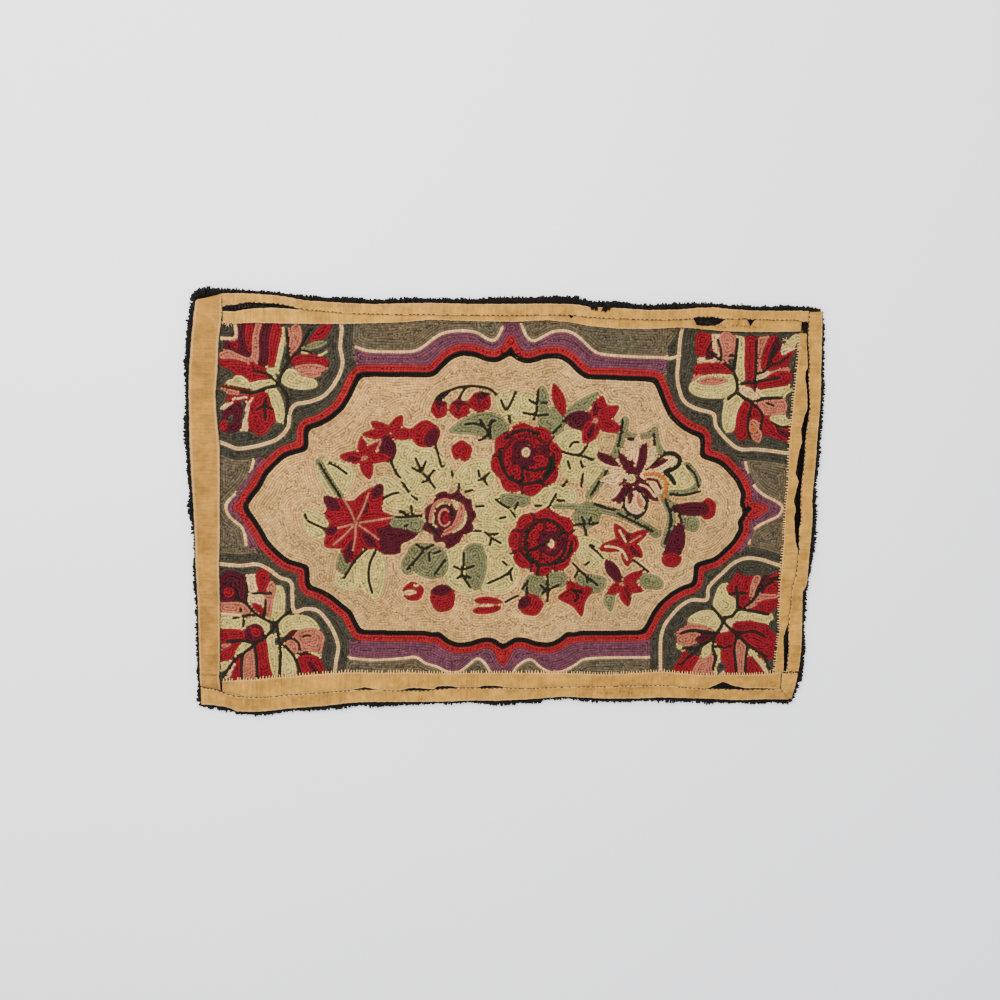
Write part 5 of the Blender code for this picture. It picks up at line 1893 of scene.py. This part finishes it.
def build_ground(settings, colours):
    """Backing cloth and pile as one slab: pile face below, cloth between the rows above, coloured as
    the pattern and darkened as painted shade between the rows.
    """
    columns, rows = (round(span / SLAB_STEP) for span in SLAB_SPAN)
    bm = bmesh.new()
    bmesh.ops.create_grid(bm, x_segments=columns, y_segments=rows, size=0.5)
    foot = bmesh.ops.extrude_face_region(bm, geom=bm.faces[:])
    upper = {item for item in foot["geom"] if isinstance(item, bmesh.types.BMVert)}
    height = np.array([1.0 if vert in upper else 0.0 for vert in bm.verts])
    share = np.array([(vert.co.x + 0.5, vert.co.y + 0.5) for vert in bm.verts])
    top_x, top_y = spread_over_rug(share[:, 0], share[:, 1], BACKING_MARGIN)
    low_x, low_y = spread_over_rug(share[:, 0], share[:, 1], PILE_MARGIN, PILE_SHARE)
    x = np.where(height > 0.5, top_x, low_x)
    y = np.where(height > 0.5, top_y, low_y)
    draw = np.random.default_rng(3)
    pile = SLAB_FOOT + draw.uniform(0.0, PILE_ROUGHNESS, len(x))
    drop = DROP * np.clip((np.abs(x) - DROP_START) / DROP_WIDTH, 0, 1)
    back = ground_height(x, y) - settings.row_depth / MM - 0.05 - drop
    z = np.where(height > 0.5, back, pile)
    move_points(bm, np.stack([x, y, z], 1))
    bmesh.ops.recalc_face_normals(bm, faces=bm.faces)
    mesh = smooth_mesh("hooked_backing", bm)

    pattern = drawn_pattern()
    row = np.clip(((y - GRID_LOW[1]) / CELL).astype(int), 0, pattern.x.shape[0] - 1)
    column = np.clip(((x - GRID_LOW[0]) / CELL).astype(int), 0, pattern.x.shape[1] - 1)
    yarns = np.array([tuple(getattr(colours, name)) for name in YARN_NAMES])
    shade = yarns[pattern.yarn[row, column]]
    outside = (x < GRID_LOW[0]) | (x > GRID_HIGH[0]) | (y < GRID_LOW[1]) | (y > GRID_HIGH[1])
    shade[outside] = yarns[YARN_NAMES.index("black")]
    # The cloth between the rows takes the pattern's colour darkened to half, as painted shade in the
    # gaps between the rows; the pile face keeps nearly its own colour
    dark = np.where(height > 0.5, CLOTH_PAINTED_SHADE, PILE_SHADE) * draw.uniform(0.8, 1.15, len(x))
    set_yarn(mesh, shade * dark[:, None])
    return add_piece("hooked_backing", mesh, backing_material())


def backing_material():
    """Wool pile below and backing cloth above, coloured as the pattern is with the cloth darkened as
    painted shade between the rows, and tufts darker towards their edges as painted shade between them.
    """
    material, tree, shader = add_shader("backing_and_pile")
    yarn = node(tree, "ShaderNodeAttribute", attribute_name="yarn")
    place = node(tree, "ShaderNodeTexCoord")
    tufts = node(tree, "ShaderNodeTexVoronoi", Scale=360.0)
    # Tufts lighter at their middles and darker towards their low edges: painted shade between the
    # tufts
    shade = map_range(tree, 0.0, 0.8, 1.2, 0.55)
    tint = node(tree, "ShaderNodeVectorMath", operation="SCALE")
    wire(place, "Object", tufts, "Vector")
    wire(tufts, "Distance", shade, "Value")
    wire(yarn, "Color", tint, 0)
    wire(shade, "Result", tint, "Scale")
    wire(tint, "Vector", shader, "Base Color")
    raise_surface(tufts, "Distance", shader, 0.9, 0.0015, invert=True)
    set_shine(shader, 0.97, 0.1)
    return material


def bound_edge(step):
    """Points round the bound edge with their outward directions and the pile's reach."""
    path = []

    def add_side(rows, column, piles, outward, start, stop):
        edge = column_reader(rows, column)
        reach = column_reader(piles, "pile")
        for along in np.arange(0.0, abs(stop - start), step):
            place = start + math.copysign(along, stop - start)
            across = float(edge(place))
            point = (place, across) if outward[0] == 0 else (across, place)
            path.append((*point, *outward, float(reach(place))))

    def add_corner(corner, start_angle, first, last):
        length = corner.radius * math.pi / 2
        count = max(3, round(length / step) + 2)
        for index in range(count):
            share = index / count
            angle = math.radians(start_angle - 90.0 * share)
            away = (math.cos(angle), math.sin(angle))
            path.append((corner.x + corner.radius * away[0], corner.y + corner.radius * away[1],
                         *away, first + (last - first) * share))

    add_corner(TOP_LEFT, 180.0, LEFT_PILE[-1].pile, TOP_PILE[0].pile)
    add_side(TOP, "outer_far", TOP_PILE, (0, 1), TOP_LEFT.x, TOP_RIGHT.x)
    add_corner(TOP_RIGHT, 90.0, TOP_PILE[-1].pile, RIGHT_PILE[0].pile)
    add_side(RIGHT, "outer_far", RIGHT_PILE, (1, 0), TOP_RIGHT.y, BOTTOM_RIGHT.y)
    add_corner(BOTTOM_RIGHT, 0.0, RIGHT_PILE[-1].pile, BOTTOM_PILE[-1].pile)
    add_side(BOTTOM, "outer_far", BOTTOM_PILE, (0, -1), BOTTOM_RIGHT.x, BOTTOM_LEFT.x)
    add_corner(BOTTOM_LEFT, -90.0, BOTTOM_PILE[0].pile, LEFT_PILE[0].pile)
    add_side(LEFT, "far", LEFT_PILE, (-1, 0), BOTTOM_LEFT.y, TOP_LEFT.y)
    return np.array(path)


def lock_shape():
    """One lock of pile along X, from its root at 0 to its blunt tip at 1."""
    bm = bmesh.new()
    bmesh.ops.create_cone(bm, segments=4, radius1=0.5, radius2=0.32, depth=1.0, cap_ends=True)
    bmesh.ops.subdivide_edges(bm, edges=[edge for edge in bm.edges
                                         if abs(edge.verts[0].co.z - edge.verts[1].co.z) > 0.5],
                              cuts=1)
    lie_along_x(bm)
    bmesh.ops.translate(bm, verts=bm.verts, vec=(0.5, 0, 0))
    for vert in bm.verts:
        if 0.3 < vert.co.x < 0.7:
            vert.co.y *= 1.15
            vert.co.z *= 1.15
    return shape_arrays(bm)


# Locks round the rim: their step, and their layers with each one's height and reach
RIM_STEP = 1.9
RIM_LAYERS = ((1.8, 0.95), (4.2, 1.0), (6.4, 0.9))

# Tufts that hang over the tape: place and the direction in which they lie
RIM_TUFTS = ((104, 280, -1.6), (121, 278, -1.4))


def build_rim(settings, colours):
    """Locks of black pile that stand out past the tapes all round."""
    draw = random.Random(23)
    shape = lock_shape()
    path = bound_edge(RIM_STEP)
    width = settings.lock_width / MM
    inner = settings.lock_length / MM
    rows = []
    clump = 0.0
    for x, y, out_x, out_y, reach in path:
        clump = 0.72 * clump + draw.gauss(0.0, 0.55)
        for height, share in RIM_LAYERS:
            far = max(3.0, reach * share + 1.8 + clump + draw.gauss(0.0, 0.6))
            if draw.random() < 0.015:
                far += draw.uniform(1.0, 2.2)
            turn = math.atan2(out_y, out_x) + draw.gauss(0.0, 0.45)
            thick = width * draw.uniform(0.7, 1.15)
            z = clamp(height + draw.uniform(-0.5, 0.5), thick / 2 + 0.02, 6.6)
            rows.append((x - out_x * inner * 0.35, y - out_y * inner * 0.35, turn,
                         far + inner * 0.35, thick, z, draw.uniform(-0.6, 0.25)))
    for tuft_x, tuft_y, inward in RIM_TUFTS:
        for _ in range(9):
            rows.append((tuft_x + draw.gauss(0.0, 2.4), tuft_y, inward + draw.gauss(0.0, 0.5),
                         draw.uniform(4.0, 8.0), width * draw.uniform(0.6, 0.9), 10.9,
                         draw.uniform(-0.6, 0.2)))
    x, y, turn, length, thick, z, droop = np.array(rows).T
    local = shape[0][None, :, :]
    along = local[..., 0] * length[:, None]
    across = local[..., 1] * thick[:, None]
    bend = droop[:, None] * local[..., 0] ** 2
    height = np.maximum(z[:, None] + local[..., 2] * thick[:, None] + bend, 0.02)
    places = turned_places(x, y, turn, along, across, height)
    black = np.array(tuple(colours.black))
    shades = np.array([np.clip(black * draw.uniform(0.6, 1.7), 0, 1) for _ in rows])
    mesh = joined_mesh("rim_pile", shape, places, shades)
    return add_piece("rim_pile", mesh, wool_material("rim_wool", 0.0003, 0.02))


# The tapes: painted shade on their cut edges, as a share of the cloth's colour
CUT_EDGE_PAINTED_SHADE = 0.3


def stations_between(start, stop, pitch):
    """Even steps along a tape between its two ends."""
    steps = max(2, round((stop - start) / pitch))
    return np.linspace(start, stop, steps + 1)


def riding_lift(rows):
    """Lift of an outer tape over the inner tape's edge."""
    inner_edge = column_reader(rows, "inner_far")
    outward = outward_side(rows)

    def lift(along, across):
        clear = (across - inner_edge(along)) * outward
        climb = (RAMP_START - clear) / (RAMP_START - RAMP_END)
        return (TAPE_THICKNESS + GAP) * smooth_step(climb)

    return lift


def flat_lift(along, across):
    """No lift, for a tape that lies on the ground alone."""
    return 0.0 * along


Tape = namedtuple("Tape", "name rows near far upright first last lift broad flat")
TAPES = (
    Tape("binding_left", LEFT, "near", "far", True, LEFT_FOOT_Y, LEFT_HEAD_Y, flat_lift, True,
         (0.035, 0.530)),
    Tape("binding_top_outer", TOP, "outer_near", "outer_far", False,
         (LEFT_SEAM_X, LEFT_SEAM_X), (TOP_OUTER_END_X, TOP_OUTER_END_X), riding_lift(TOP),
         False, (0.015, 0.790)),
    Tape("binding_top_inner", TOP, "inner_near", "inner_far", False,
         (LEFT_SEAM_X, LEFT_SEAM_X), (TOP_INNER_END_X, TOP_INNER_END_X), flat_lift, False,
         (0.016, 0.780)),
    Tape("binding_right_outer", RIGHT, "outer_near", "outer_far", True,
         (RIGHT_OUTER_FOOT_Y, RIGHT_OUTER_FOOT_Y), RIGHT_TOP_Y, riding_lift(RIGHT), False,
         (0.019, 0.512)),
    Tape("binding_right_inner", RIGHT, "inner_near", "inner_far", True,
         (RIGHT_INNER_FOOT_Y, RIGHT_INNER_FOOT_Y), (RIGHT_INNER_TOP_Y, RIGHT_INNER_TOP_Y),
         flat_lift, False, (0.015, 0.482)),
    Tape("binding_bottom_outer", BOTTOM, "outer_near", "outer_far", False,
         (BOTTOM_START_X, BOTTOM_START_X), (MITRE_HEAD_X, MITRE_FOOT_X), riding_lift(BOTTOM),
         False, (0.019, 0.832)),
    Tape("binding_bottom_inner", BOTTOM, "inner_near", "inner_far", False,
         (BOTTOM_INNER_START_X, BOTTOM_INNER_START_X),
         (BOTTOM_INNER_END_X, BOTTOM_INNER_END_X), flat_lift, False, (0.022, 0.794)),
    Tape("binding_turn_up", TURN_UP, "near", "far", True,
         (TURN_UP[-1].along, TURN_UP[-1].along), (TURN_UP[0].along, TURN_UP[0].along),
         flat_lift, False, (0.020, 0.039)),
)


def tape_top(tape, along, across):
    """Height of a tape's upper face at a place along and across it."""
    return GROUND_THICKNESS + GAP + TAPE_THICKNESS + tape.lift(along, across)


def build_tape(tape, settings, material, edge_material):
    """Lay one tape as a fine grid between its edges and give it its thickness."""
    pitch = settings.mesh_step / MM
    start, stop = max(tape.first), min(tape.last)
    alongs = stations_between(start, stop, pitch)
    near_edge = column_reader(tape.rows, tape.near)
    far_edge = column_reader(tape.rows, tape.far)
    middle = (start + stop) / 2
    broad = abs(float(far_edge(middle)) - float(near_edge(middle)))
    columns = max(6, round(broad / pitch * 1.25))
    last = len(alongs) - 1

    bm = bmesh.new()
    bmesh.ops.create_grid(bm, x_segments=last, y_segments=columns, size=0.5)
    row = np.array([round((vert.co.x + 0.5) * last) for vert in bm.verts])
    share = np.array([vert.co.y + 0.5 for vert in bm.verts])
    ease = 0.5 - 0.5 * np.cos(math.pi * share)
    share = 0.55 * share + 0.45 * ease
    along = alongs[row]
    along = np.where(row == 0, tape.first[0] + (tape.first[1] - tape.first[0]) * share, along)
    along = np.where(row == last, tape.last[0] + (tape.last[1] - tape.last[0]) * share, along)
    near, far = near_edge(along), far_edge(along)
    ripple = settings.ripple / MM
    wave = np.sin(along * 0.83 + near) + 0.7 * np.sin(along * 0.31) + 0.5 * np.sin(along * 1.9)
    edge_wave = ripple * 0.55 * wave
    side = np.sign(far - near)
    across = near + (far - near) * share + side * edge_wave * np.abs(2 * share - 1) ** 6
    height = GROUND_THICKNESS + GAP + tape.lift(along, across)
    pucker = np.abs(np.sin(along * 0.72)) * np.exp(-((share - 0.04) / 0.12) ** 2)
    height = height + ripple * (0.35 * pucker + 0.3 * np.sin(along / 9.0 + 3 * share) ** 2)
    x, y = (across, along) if tape.upright else (along, across)
    move_points(bm, np.stack([x, y, height], 1))
    bm.normal_update()
    if sum(face.normal.z for face in bm.faces) < 0:
        bmesh.ops.reverse_faces(bm, faces=bm.faces)
    weave = bm.loops.layers.uv.new("weave")
    bm.verts.index_update()
    for face in bm.faces:
        for loop in face.loops:
            index = loop.vert.index
            loop[weave].uv = (along[index], share[index] * broad)
    mesh = smooth_mesh(tape.name + "_cloth", bm)
    selvedge = mesh.attributes.new("selvedge", "FLOAT", "POINT")
    selvedge.data.foreach_set("value", np.abs(2 * share - 1).astype(np.float32))
    item = add_piece(tape.name + "_cloth", mesh, material)
    thickness = item.modifiers.new("thickness", "SOLIDIFY")
    thickness.thickness = TAPE_THICKNESS * MM
    thickness.offset = 1.0
    thickness.use_even_offset = True
    mesh.materials.append(edge_material)
    thickness.material_offset_rim = 1
    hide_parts(tape.name)
    return item


# Sewing
def stitch_shape():
    """One stitch of thread along X, in a box of unit size."""
    bm = bmesh.new()
    bmesh.ops.create_uvsphere(bm, u_segments=6, v_segments=5, radius=0.5)
    lie_along_x(bm)
    return shape_arrays(bm)


def sew(name, stitches, material):
    """Join stitches, each from a start to an end with its thickness and its arch."""
    shape = stitch_shape()
    start, stop, thick, arch = (np.array(column, float) for column in zip(*stitches))
    run = stop - start
    flat = np.hypot(run[:, 0], run[:, 1])
    side = np.stack([-run[:, 1] / flat, run[:, 0] / flat, np.zeros(len(flat))], 1)
    share = shape[0][None, :, 0] + 0.5
    places = start[:, None, :] + run[:, None, :] * share[..., None]
    places = places + side[:, None, :] * (shape[0][None, :, 1] * thick[:, None])[..., None]
    places[..., 2] += shape[0][None, :, 2] * thick[:, None]
    places[..., 2] += arch[:, None] * (1 - (2 * share - 1) ** 2)
    mesh = joined_mesh(name, shape, place_in_frame(places))
    return add_piece(name, mesh, material)


def hem_stitches(draw, tape, pitch, out, inside, thick, skip):
    """Stitches over a tape's inner edge, from the ground up onto the tape."""
    near = column_reader(tape.rows, tape.near)
    far = column_reader(tape.rows, tape.far)
    start, stop = max(tape.first), min(tape.last)
    made = []
    along = start + 2.0
    while along < stop - 1.0:
        edge = float(near(along))
        side = math.copysign(1.0, float(far(along)) - edge)
        reach = out * draw.uniform(0.7, 1.2)
        lean = draw.uniform(-0.7, 0.7)
        low = (along + lean, edge - side * reach, GROUND_THICKNESS + 0.3)
        high = (along - lean * 0.4, edge + side * inside, GROUND_THICKNESS + 1.45)
        if tape.upright:
            low, high = (low[1], low[0], low[2]), (high[1], high[0], high[2])
        if draw.random() > skip:
            made.append((low, high, thick * draw.uniform(0.8, 1.2), 0.45))
        along += pitch * draw.uniform(0.8, 1.2)
    return made


def seam_stitches(draw, tape, inset, pitch, length):
    """Running stitches along a tape, a little way in from its inner edge."""
    near = column_reader(tape.rows, tape.near)
    far = column_reader(tape.rows, tape.far)
    start, stop = max(tape.first), min(tape.last)
    made = []
    along = start + 3.0
    while along < stop - 3.0:
        side = math.copysign(1.0, float(far(along)) - float(near(along)))
        ends = []
        for place in (along, along + length * draw.uniform(0.7, 1.3)):
            across = float(near(place)) + side * inset + draw.uniform(-0.35, 0.35)
            height = float(tape_top(tape, place, across)) + 0.1
            ends.append((across, place, height) if tape.upright else (place, across, height))
        if draw.random() > 0.08:
            made.append((ends[0], ends[1], draw.uniform(1.2, 1.8), 0.14))
        along += pitch * draw.uniform(0.75, 1.3)
    return made


def path_stitches(draw, points, height, pitch, length, thick):
    """Running stitches along a path through points."""
    line = smooth_line(points)
    steps = np.hypot(*np.diff(line, axis=0).T)
    reach = np.concatenate([[0.0], np.cumsum(steps)])
    made = []
    place = 0.5
    while place < reach[-1] - length:
        ends = []
        for at in (place, place + length):
            ends.append((float(np.interp(at, reach, line[:, 0])) + draw.uniform(-0.3, 0.3),
                         float(np.interp(at, reach, line[:, 1])) + draw.uniform(-0.3, 0.3),
                         height))
        made.append((ends[0], ends[1], thick * draw.uniform(0.8, 1.2), 0.1))
        place += pitch * draw.uniform(0.8, 1.25)
    return made


def fray(draw, start, stop, reach, count):
    """Loose threads along a cut end, each leaning its own way."""
    made = []
    for _ in range(count):
        share = draw.random()
        turn = draw.uniform(0.0, 2 * math.pi)
        size = reach * draw.uniform(0.5, 1.0)
        x = start[0] + (stop[0] - start[0]) * share
        y = start[1] + (stop[1] - start[1]) * share
        high = TAPE_LEVEL + draw.uniform(0.0, 0.5)
        made.append(((x, y, TAPE_LEVEL + 0.1),
                     (x + size * math.cos(turn), y + size * math.sin(turn), high),
                     draw.uniform(0.45, 0.75), 0.4))
    return made


# Cut ends with loose threads: start, stop, reach and number
PALE_FRAYS = (((372, 242), (396, 228), 6.5, 26), ((-384, 244), (-370, 240), 6.0, 16),
              ((383, -228), (424, -236), 5.0, 34))
DARK_FRAYS = (((294, 259), (328, 258), 4.5, 16), ((216, 246), (230, 252), 5.5, 8),
              ((252, 262), (290, 256), 4.5, 14), ((383, -228), (424, -236), 4.0, 22),
              ((-384, 262), (-330, 265), 4.0, 26), ((120, -262), (180, -262), 3.5, 16),
              ((384, -246), (396, -262), 4.0, 8))


# Lines of running stitches across the tapes
STITCH_PATHS = ([(-385.2, 277), (-385.6, 243)], [(-421, -251), (-398, -256), (-363, -266)],
                [(394, -240), (396, -252), (404, -262), (412, -270)])


# Hems: the tape, whether the thread is pale, the spacing beside the set one, the reach out over
# the rows and in over the tape, the thickness, and the share of stitches that are missing
HEMS = (("binding_bottom_inner", True, 1.0, 3.6, 1.6, 1.45, 0.04),
        ("binding_right_inner", True, 1.05, 3.2, 1.4, 1.35, 0.04),
        ("binding_left", False, 1.05, 1.4, 0.5, 0.9, 0.12),
        ("binding_top_inner", False, 1.9, 1.2, 0.6, 0.9, 0.1))


def build_sewing(settings):
    """Hem stitches over the inner edges, and the seams that hold the tapes."""
    draw = random.Random(41)
    by_name = {tape.name: tape for tape in TAPES}
    pale, dark = [], []
    for name, is_pale, spacing, out, inside, thick, skip in HEMS:
        made = hem_stitches(draw, by_name[name], settings.whip_pitch / MM * spacing, out, inside,
                            thick, skip)
        (pale if is_pale else dark).extend(made)
    for name in ("binding_top_outer", "binding_bottom_outer", "binding_right_outer"):
        dark += seam_stitches(draw, by_name[name], 0.6, 5.8, 4.2)
    for points in STITCH_PATHS:
        dark += path_stitches(draw, points, TAPE_LEVEL, 4.2, 2.4, 0.9)
    zigzag = [(-424 + 3.2 * step, -234 + (1.3 if step % 2 else -1.3)) for step in range(13)]
    dark += [((*here, TAPE_LEVEL), (*there, TAPE_LEVEL), 0.8, 0.1)
             for here, there in zip(zigzag, zigzag[1:])]
    for ends in PALE_FRAYS:
        pale += fray(draw, *ends)
    for ends in DARK_FRAYS:
        dark += fray(draw, *ends)
    material = thread_material("seam_thread", tuple(settings.thread))
    sew("seam_stitches", dark, material)
    sew("hem_stitches", pale, thread_material("hem_thread", tuple(settings.whip_thread)))


# Stage: height of the face that the camera looks at and the lamp's place, both in metres; the
# camera's tilts in degrees, and the way from it to the rug's middle
FACE_HEIGHT = 0.0088
FLOOR_HALF = 3.0
LAMP_PLACE = (-0.7, 0.9, 1.5)
LAMP_SIZE = (1.6, 1.2)
CAMERA_PITCH, CAMERA_YAW, CAMERA_ROLL = -6.8, -4.18, -1.27
CAMERA_REACH = (0.016, -0.014, -1.035)


def build_floor(settings):
    """Pale floor under the rug."""
    bm = bmesh.new()
    bmesh.ops.create_grid(bm, x_segments=1, y_segments=1, size=FLOOR_HALF)
    mesh = bpy.data.meshes.new("floor")
    bm.to_mesh(mesh)
    bm.free()
    floor = bpy.data.objects.new("floor", mesh)
    bpy.context.scene.collection.objects.link(floor)
    material, tree, shader = add_shader("floor")
    place = node(tree, "ShaderNodeTexCoord")
    noise = node(tree, "ShaderNodeTexNoise", Scale=3.0, Detail=3.0)
    pale = tuple(settings.floor_colour)
    ramp = color_ramp(tree, (0.0, shaded(pale, 0.97)), (1.0, shaded(pale, 1.0)))
    wire(place, "Object", noise, "Vector")
    wire(noise, "Fac", ramp, "Fac")
    wire(ramp, "Color", shader, "Base Color")
    set_shine(shader, 0.9)
    mesh.materials.append(material)


def build_light(settings):
    """Even light all round and one large soft lamp."""
    world = bpy.data.worlds.new("studio")
    world.use_nodes = True
    sky = world.node_tree.nodes["Background"]
    sky.inputs["Color"].default_value = (0.93, 0.95, 1.0, 1.0)
    sky.inputs["Strength"].default_value = settings.sky_strength
    bpy.context.scene.world = world
    lamp_data = bpy.data.lights.new("soft_lamp", "AREA")
    lamp_data.shape = "RECTANGLE"
    lamp_data.size, lamp_data.size_y = LAMP_SIZE
    lamp_data.energy = settings.lamp_power
    lamp_data.color = (1.0, 0.97, 0.92)
    lamp = bpy.data.objects.new("soft_lamp", lamp_data)
    lamp.location = LAMP_PLACE
    lamp.rotation_euler = (-lamp.location).to_track_quat("-Z", "Y").to_euler()
    bpy.context.scene.collection.objects.link(lamp)


def build_camera(settings):
    """Camera above the rug, at a slight angle to its face."""
    turn = (Matrix.Rotation(math.radians(CAMERA_ROLL), 3, "Z")
            @ Matrix.Rotation(math.radians(CAMERA_PITCH), 3, "X")
            @ Matrix.Rotation(math.radians(CAMERA_YAW), 3, "Y"))
    flip = Matrix(((1, 0, 0), (0, 1, 0), (0, 0, -1)))
    view = flip @ turn @ flip
    camera_data = bpy.data.cameras.new("camera")
    camera_data.lens = settings.lens
    camera_data.sensor_width = 36.0
    camera = bpy.data.objects.new("camera", camera_data)
    middle = Vector((SHIFT_X * MM, SHIFT_Y * MM, FACE_HEIGHT))
    place = middle - view.transposed() @ Vector(CAMERA_REACH)
    camera.matrix_world = Matrix.Translation(place) @ view.transposed().to_4x4()
    camera_data.clip_start = 0.01
    bpy.context.scene.collection.objects.link(camera)
    bpy.context.scene.camera = camera


# Operators, one for each piece or group of like pieces
class RUG_OT_ground(bpy.types.Operator):
    """Build the backing cloth with its pile"""
    bl_idname = "rug.ground"
    bl_label = "Backing and pile"

    def execute(self, context):
        scene = context.scene
        item = build_ground(scene.rug_rows, scene.rug_yarns)
        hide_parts("hooked_ground")
        return {"FINISHED"}


class RUG_OT_rows(bpy.types.Operator):
    """Build the hooked rows in their pattern"""
    bl_idname = "rug.rows"
    bl_label = "Hooked rows"

    def execute(self, context):
        scene = context.scene
        for item in build_rows(scene.rug_rows, scene.rug_yarns):
            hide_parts("hooked_ground")
        return {"FINISHED"}


class RUG_OT_rim(bpy.types.Operator):
    """Build the pile that stands out round the rim"""
    bl_idname = "rug.rim"
    bl_label = "Rim pile"

    def execute(self, context):
        scene = context.scene
        item = build_rim(scene.rug_rows, scene.rug_yarns)
        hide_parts("hooked_ground")
        return {"FINISHED"}


class RUG_OT_tapes(bpy.types.Operator):
    """Build the binding tapes"""
    bl_idname = "rug.tapes"
    bl_label = "Binding tapes"

    def execute(self, context):
        settings = context.scene.rug_tapes
        narrow = tape_material("binding_tape", tuple(settings.tape), settings)
        broad = tape_material("broad_tape", tuple(settings.broad_tape), settings)
        # The cut edges take the tape's colour darkened: painted shade on the tapes' sides
        edge = thread_material("tape_edge", tuple(part * CUT_EDGE_PAINTED_SHADE for part in settings.tape))
        for tape in TAPES:
            build_tape(tape, settings, broad if tape.broad else narrow, edge)
        return {"FINISHED"}


class RUG_OT_sewing(bpy.types.Operator):
    """Build the stitches of the hems and seams"""
    bl_idname = "rug.sewing"
    bl_label = "Sewing"

    def execute(self, context):
        build_sewing(context.scene.rug_tapes)
        return {"FINISHED"}


class RUG_OT_sheet(bpy.types.Operator):
    """Leave the scene as it is: the backing cloth comes with its pile from the ground step"""
    bl_idname = "rug.sheet"
    bl_label = "Declare the cloth"

    def execute(self, context):
        return {"FINISHED"}


class RUG_OT_stage(bpy.types.Operator):
    """Build the floor, lamps and camera"""
    bl_idname = "rug.stage"
    bl_label = "Stage"

    def execute(self, context):
        settings = context.scene.rug_stage
        build_floor(settings)
        build_light(settings)
        build_camera(settings)
        return {"FINISHED"}


class RUG_PT_panel(bpy.types.Panel):
    """Builds the rug's pieces from the sidebar"""
    bl_idname = "RUG_PT_panel"
    bl_label = "Hooked rug"
    bl_space_type = "VIEW_3D"
    bl_region_type = "UI"
    bl_category = "Rug"

    def draw(self, context):
        layout = self.layout
        for step in STEPS:
            layout.operator(step.bl_idname)
        for title in ("rug_rows", "rug_yarns", "rug_tapes", "rug_stage"):
            group = getattr(context.scene, title)
            box = layout.box()
            for key in group.__annotations__:
                box.prop(group, key)


STEPS = (RUG_OT_ground, RUG_OT_rows, RUG_OT_rim, RUG_OT_tapes, RUG_OT_sewing, RUG_OT_sheet,
         RUG_OT_stage)
GROUPS = {"rug_rows": RugRows, "rug_yarns": RugYarns, "rug_tapes": RugTapes,
          "rug_stage": RugStage}
CLASSES = (*GROUPS.values(), *STEPS, RUG_PT_panel)


def register():
    """Register the classes and hang the settings on the scene."""
    for item in CLASSES:
        bpy.utils.register_class(item)
    for key, group in GROUPS.items():
        setattr(bpy.types.Scene, key, bpy.props.PointerProperty(type=group))


def unregister():
    """Remove the settings and the classes."""
    for key in GROUPS:
        delattr(bpy.types.Scene, key)
    for item in reversed(CLASSES):
        bpy.utils.unregister_class(item)


def main():
    """Build every piece in order."""
    register()
    bpy.ops.rug.ground()
    bpy.ops.rug.rows()
    bpy.ops.rug.rim()
    bpy.ops.rug.tapes()
    bpy.ops.rug.sewing()
    bpy.ops.rug.sheet()
    bpy.ops.rug.stage()


if __name__ == "__main__":
    main()
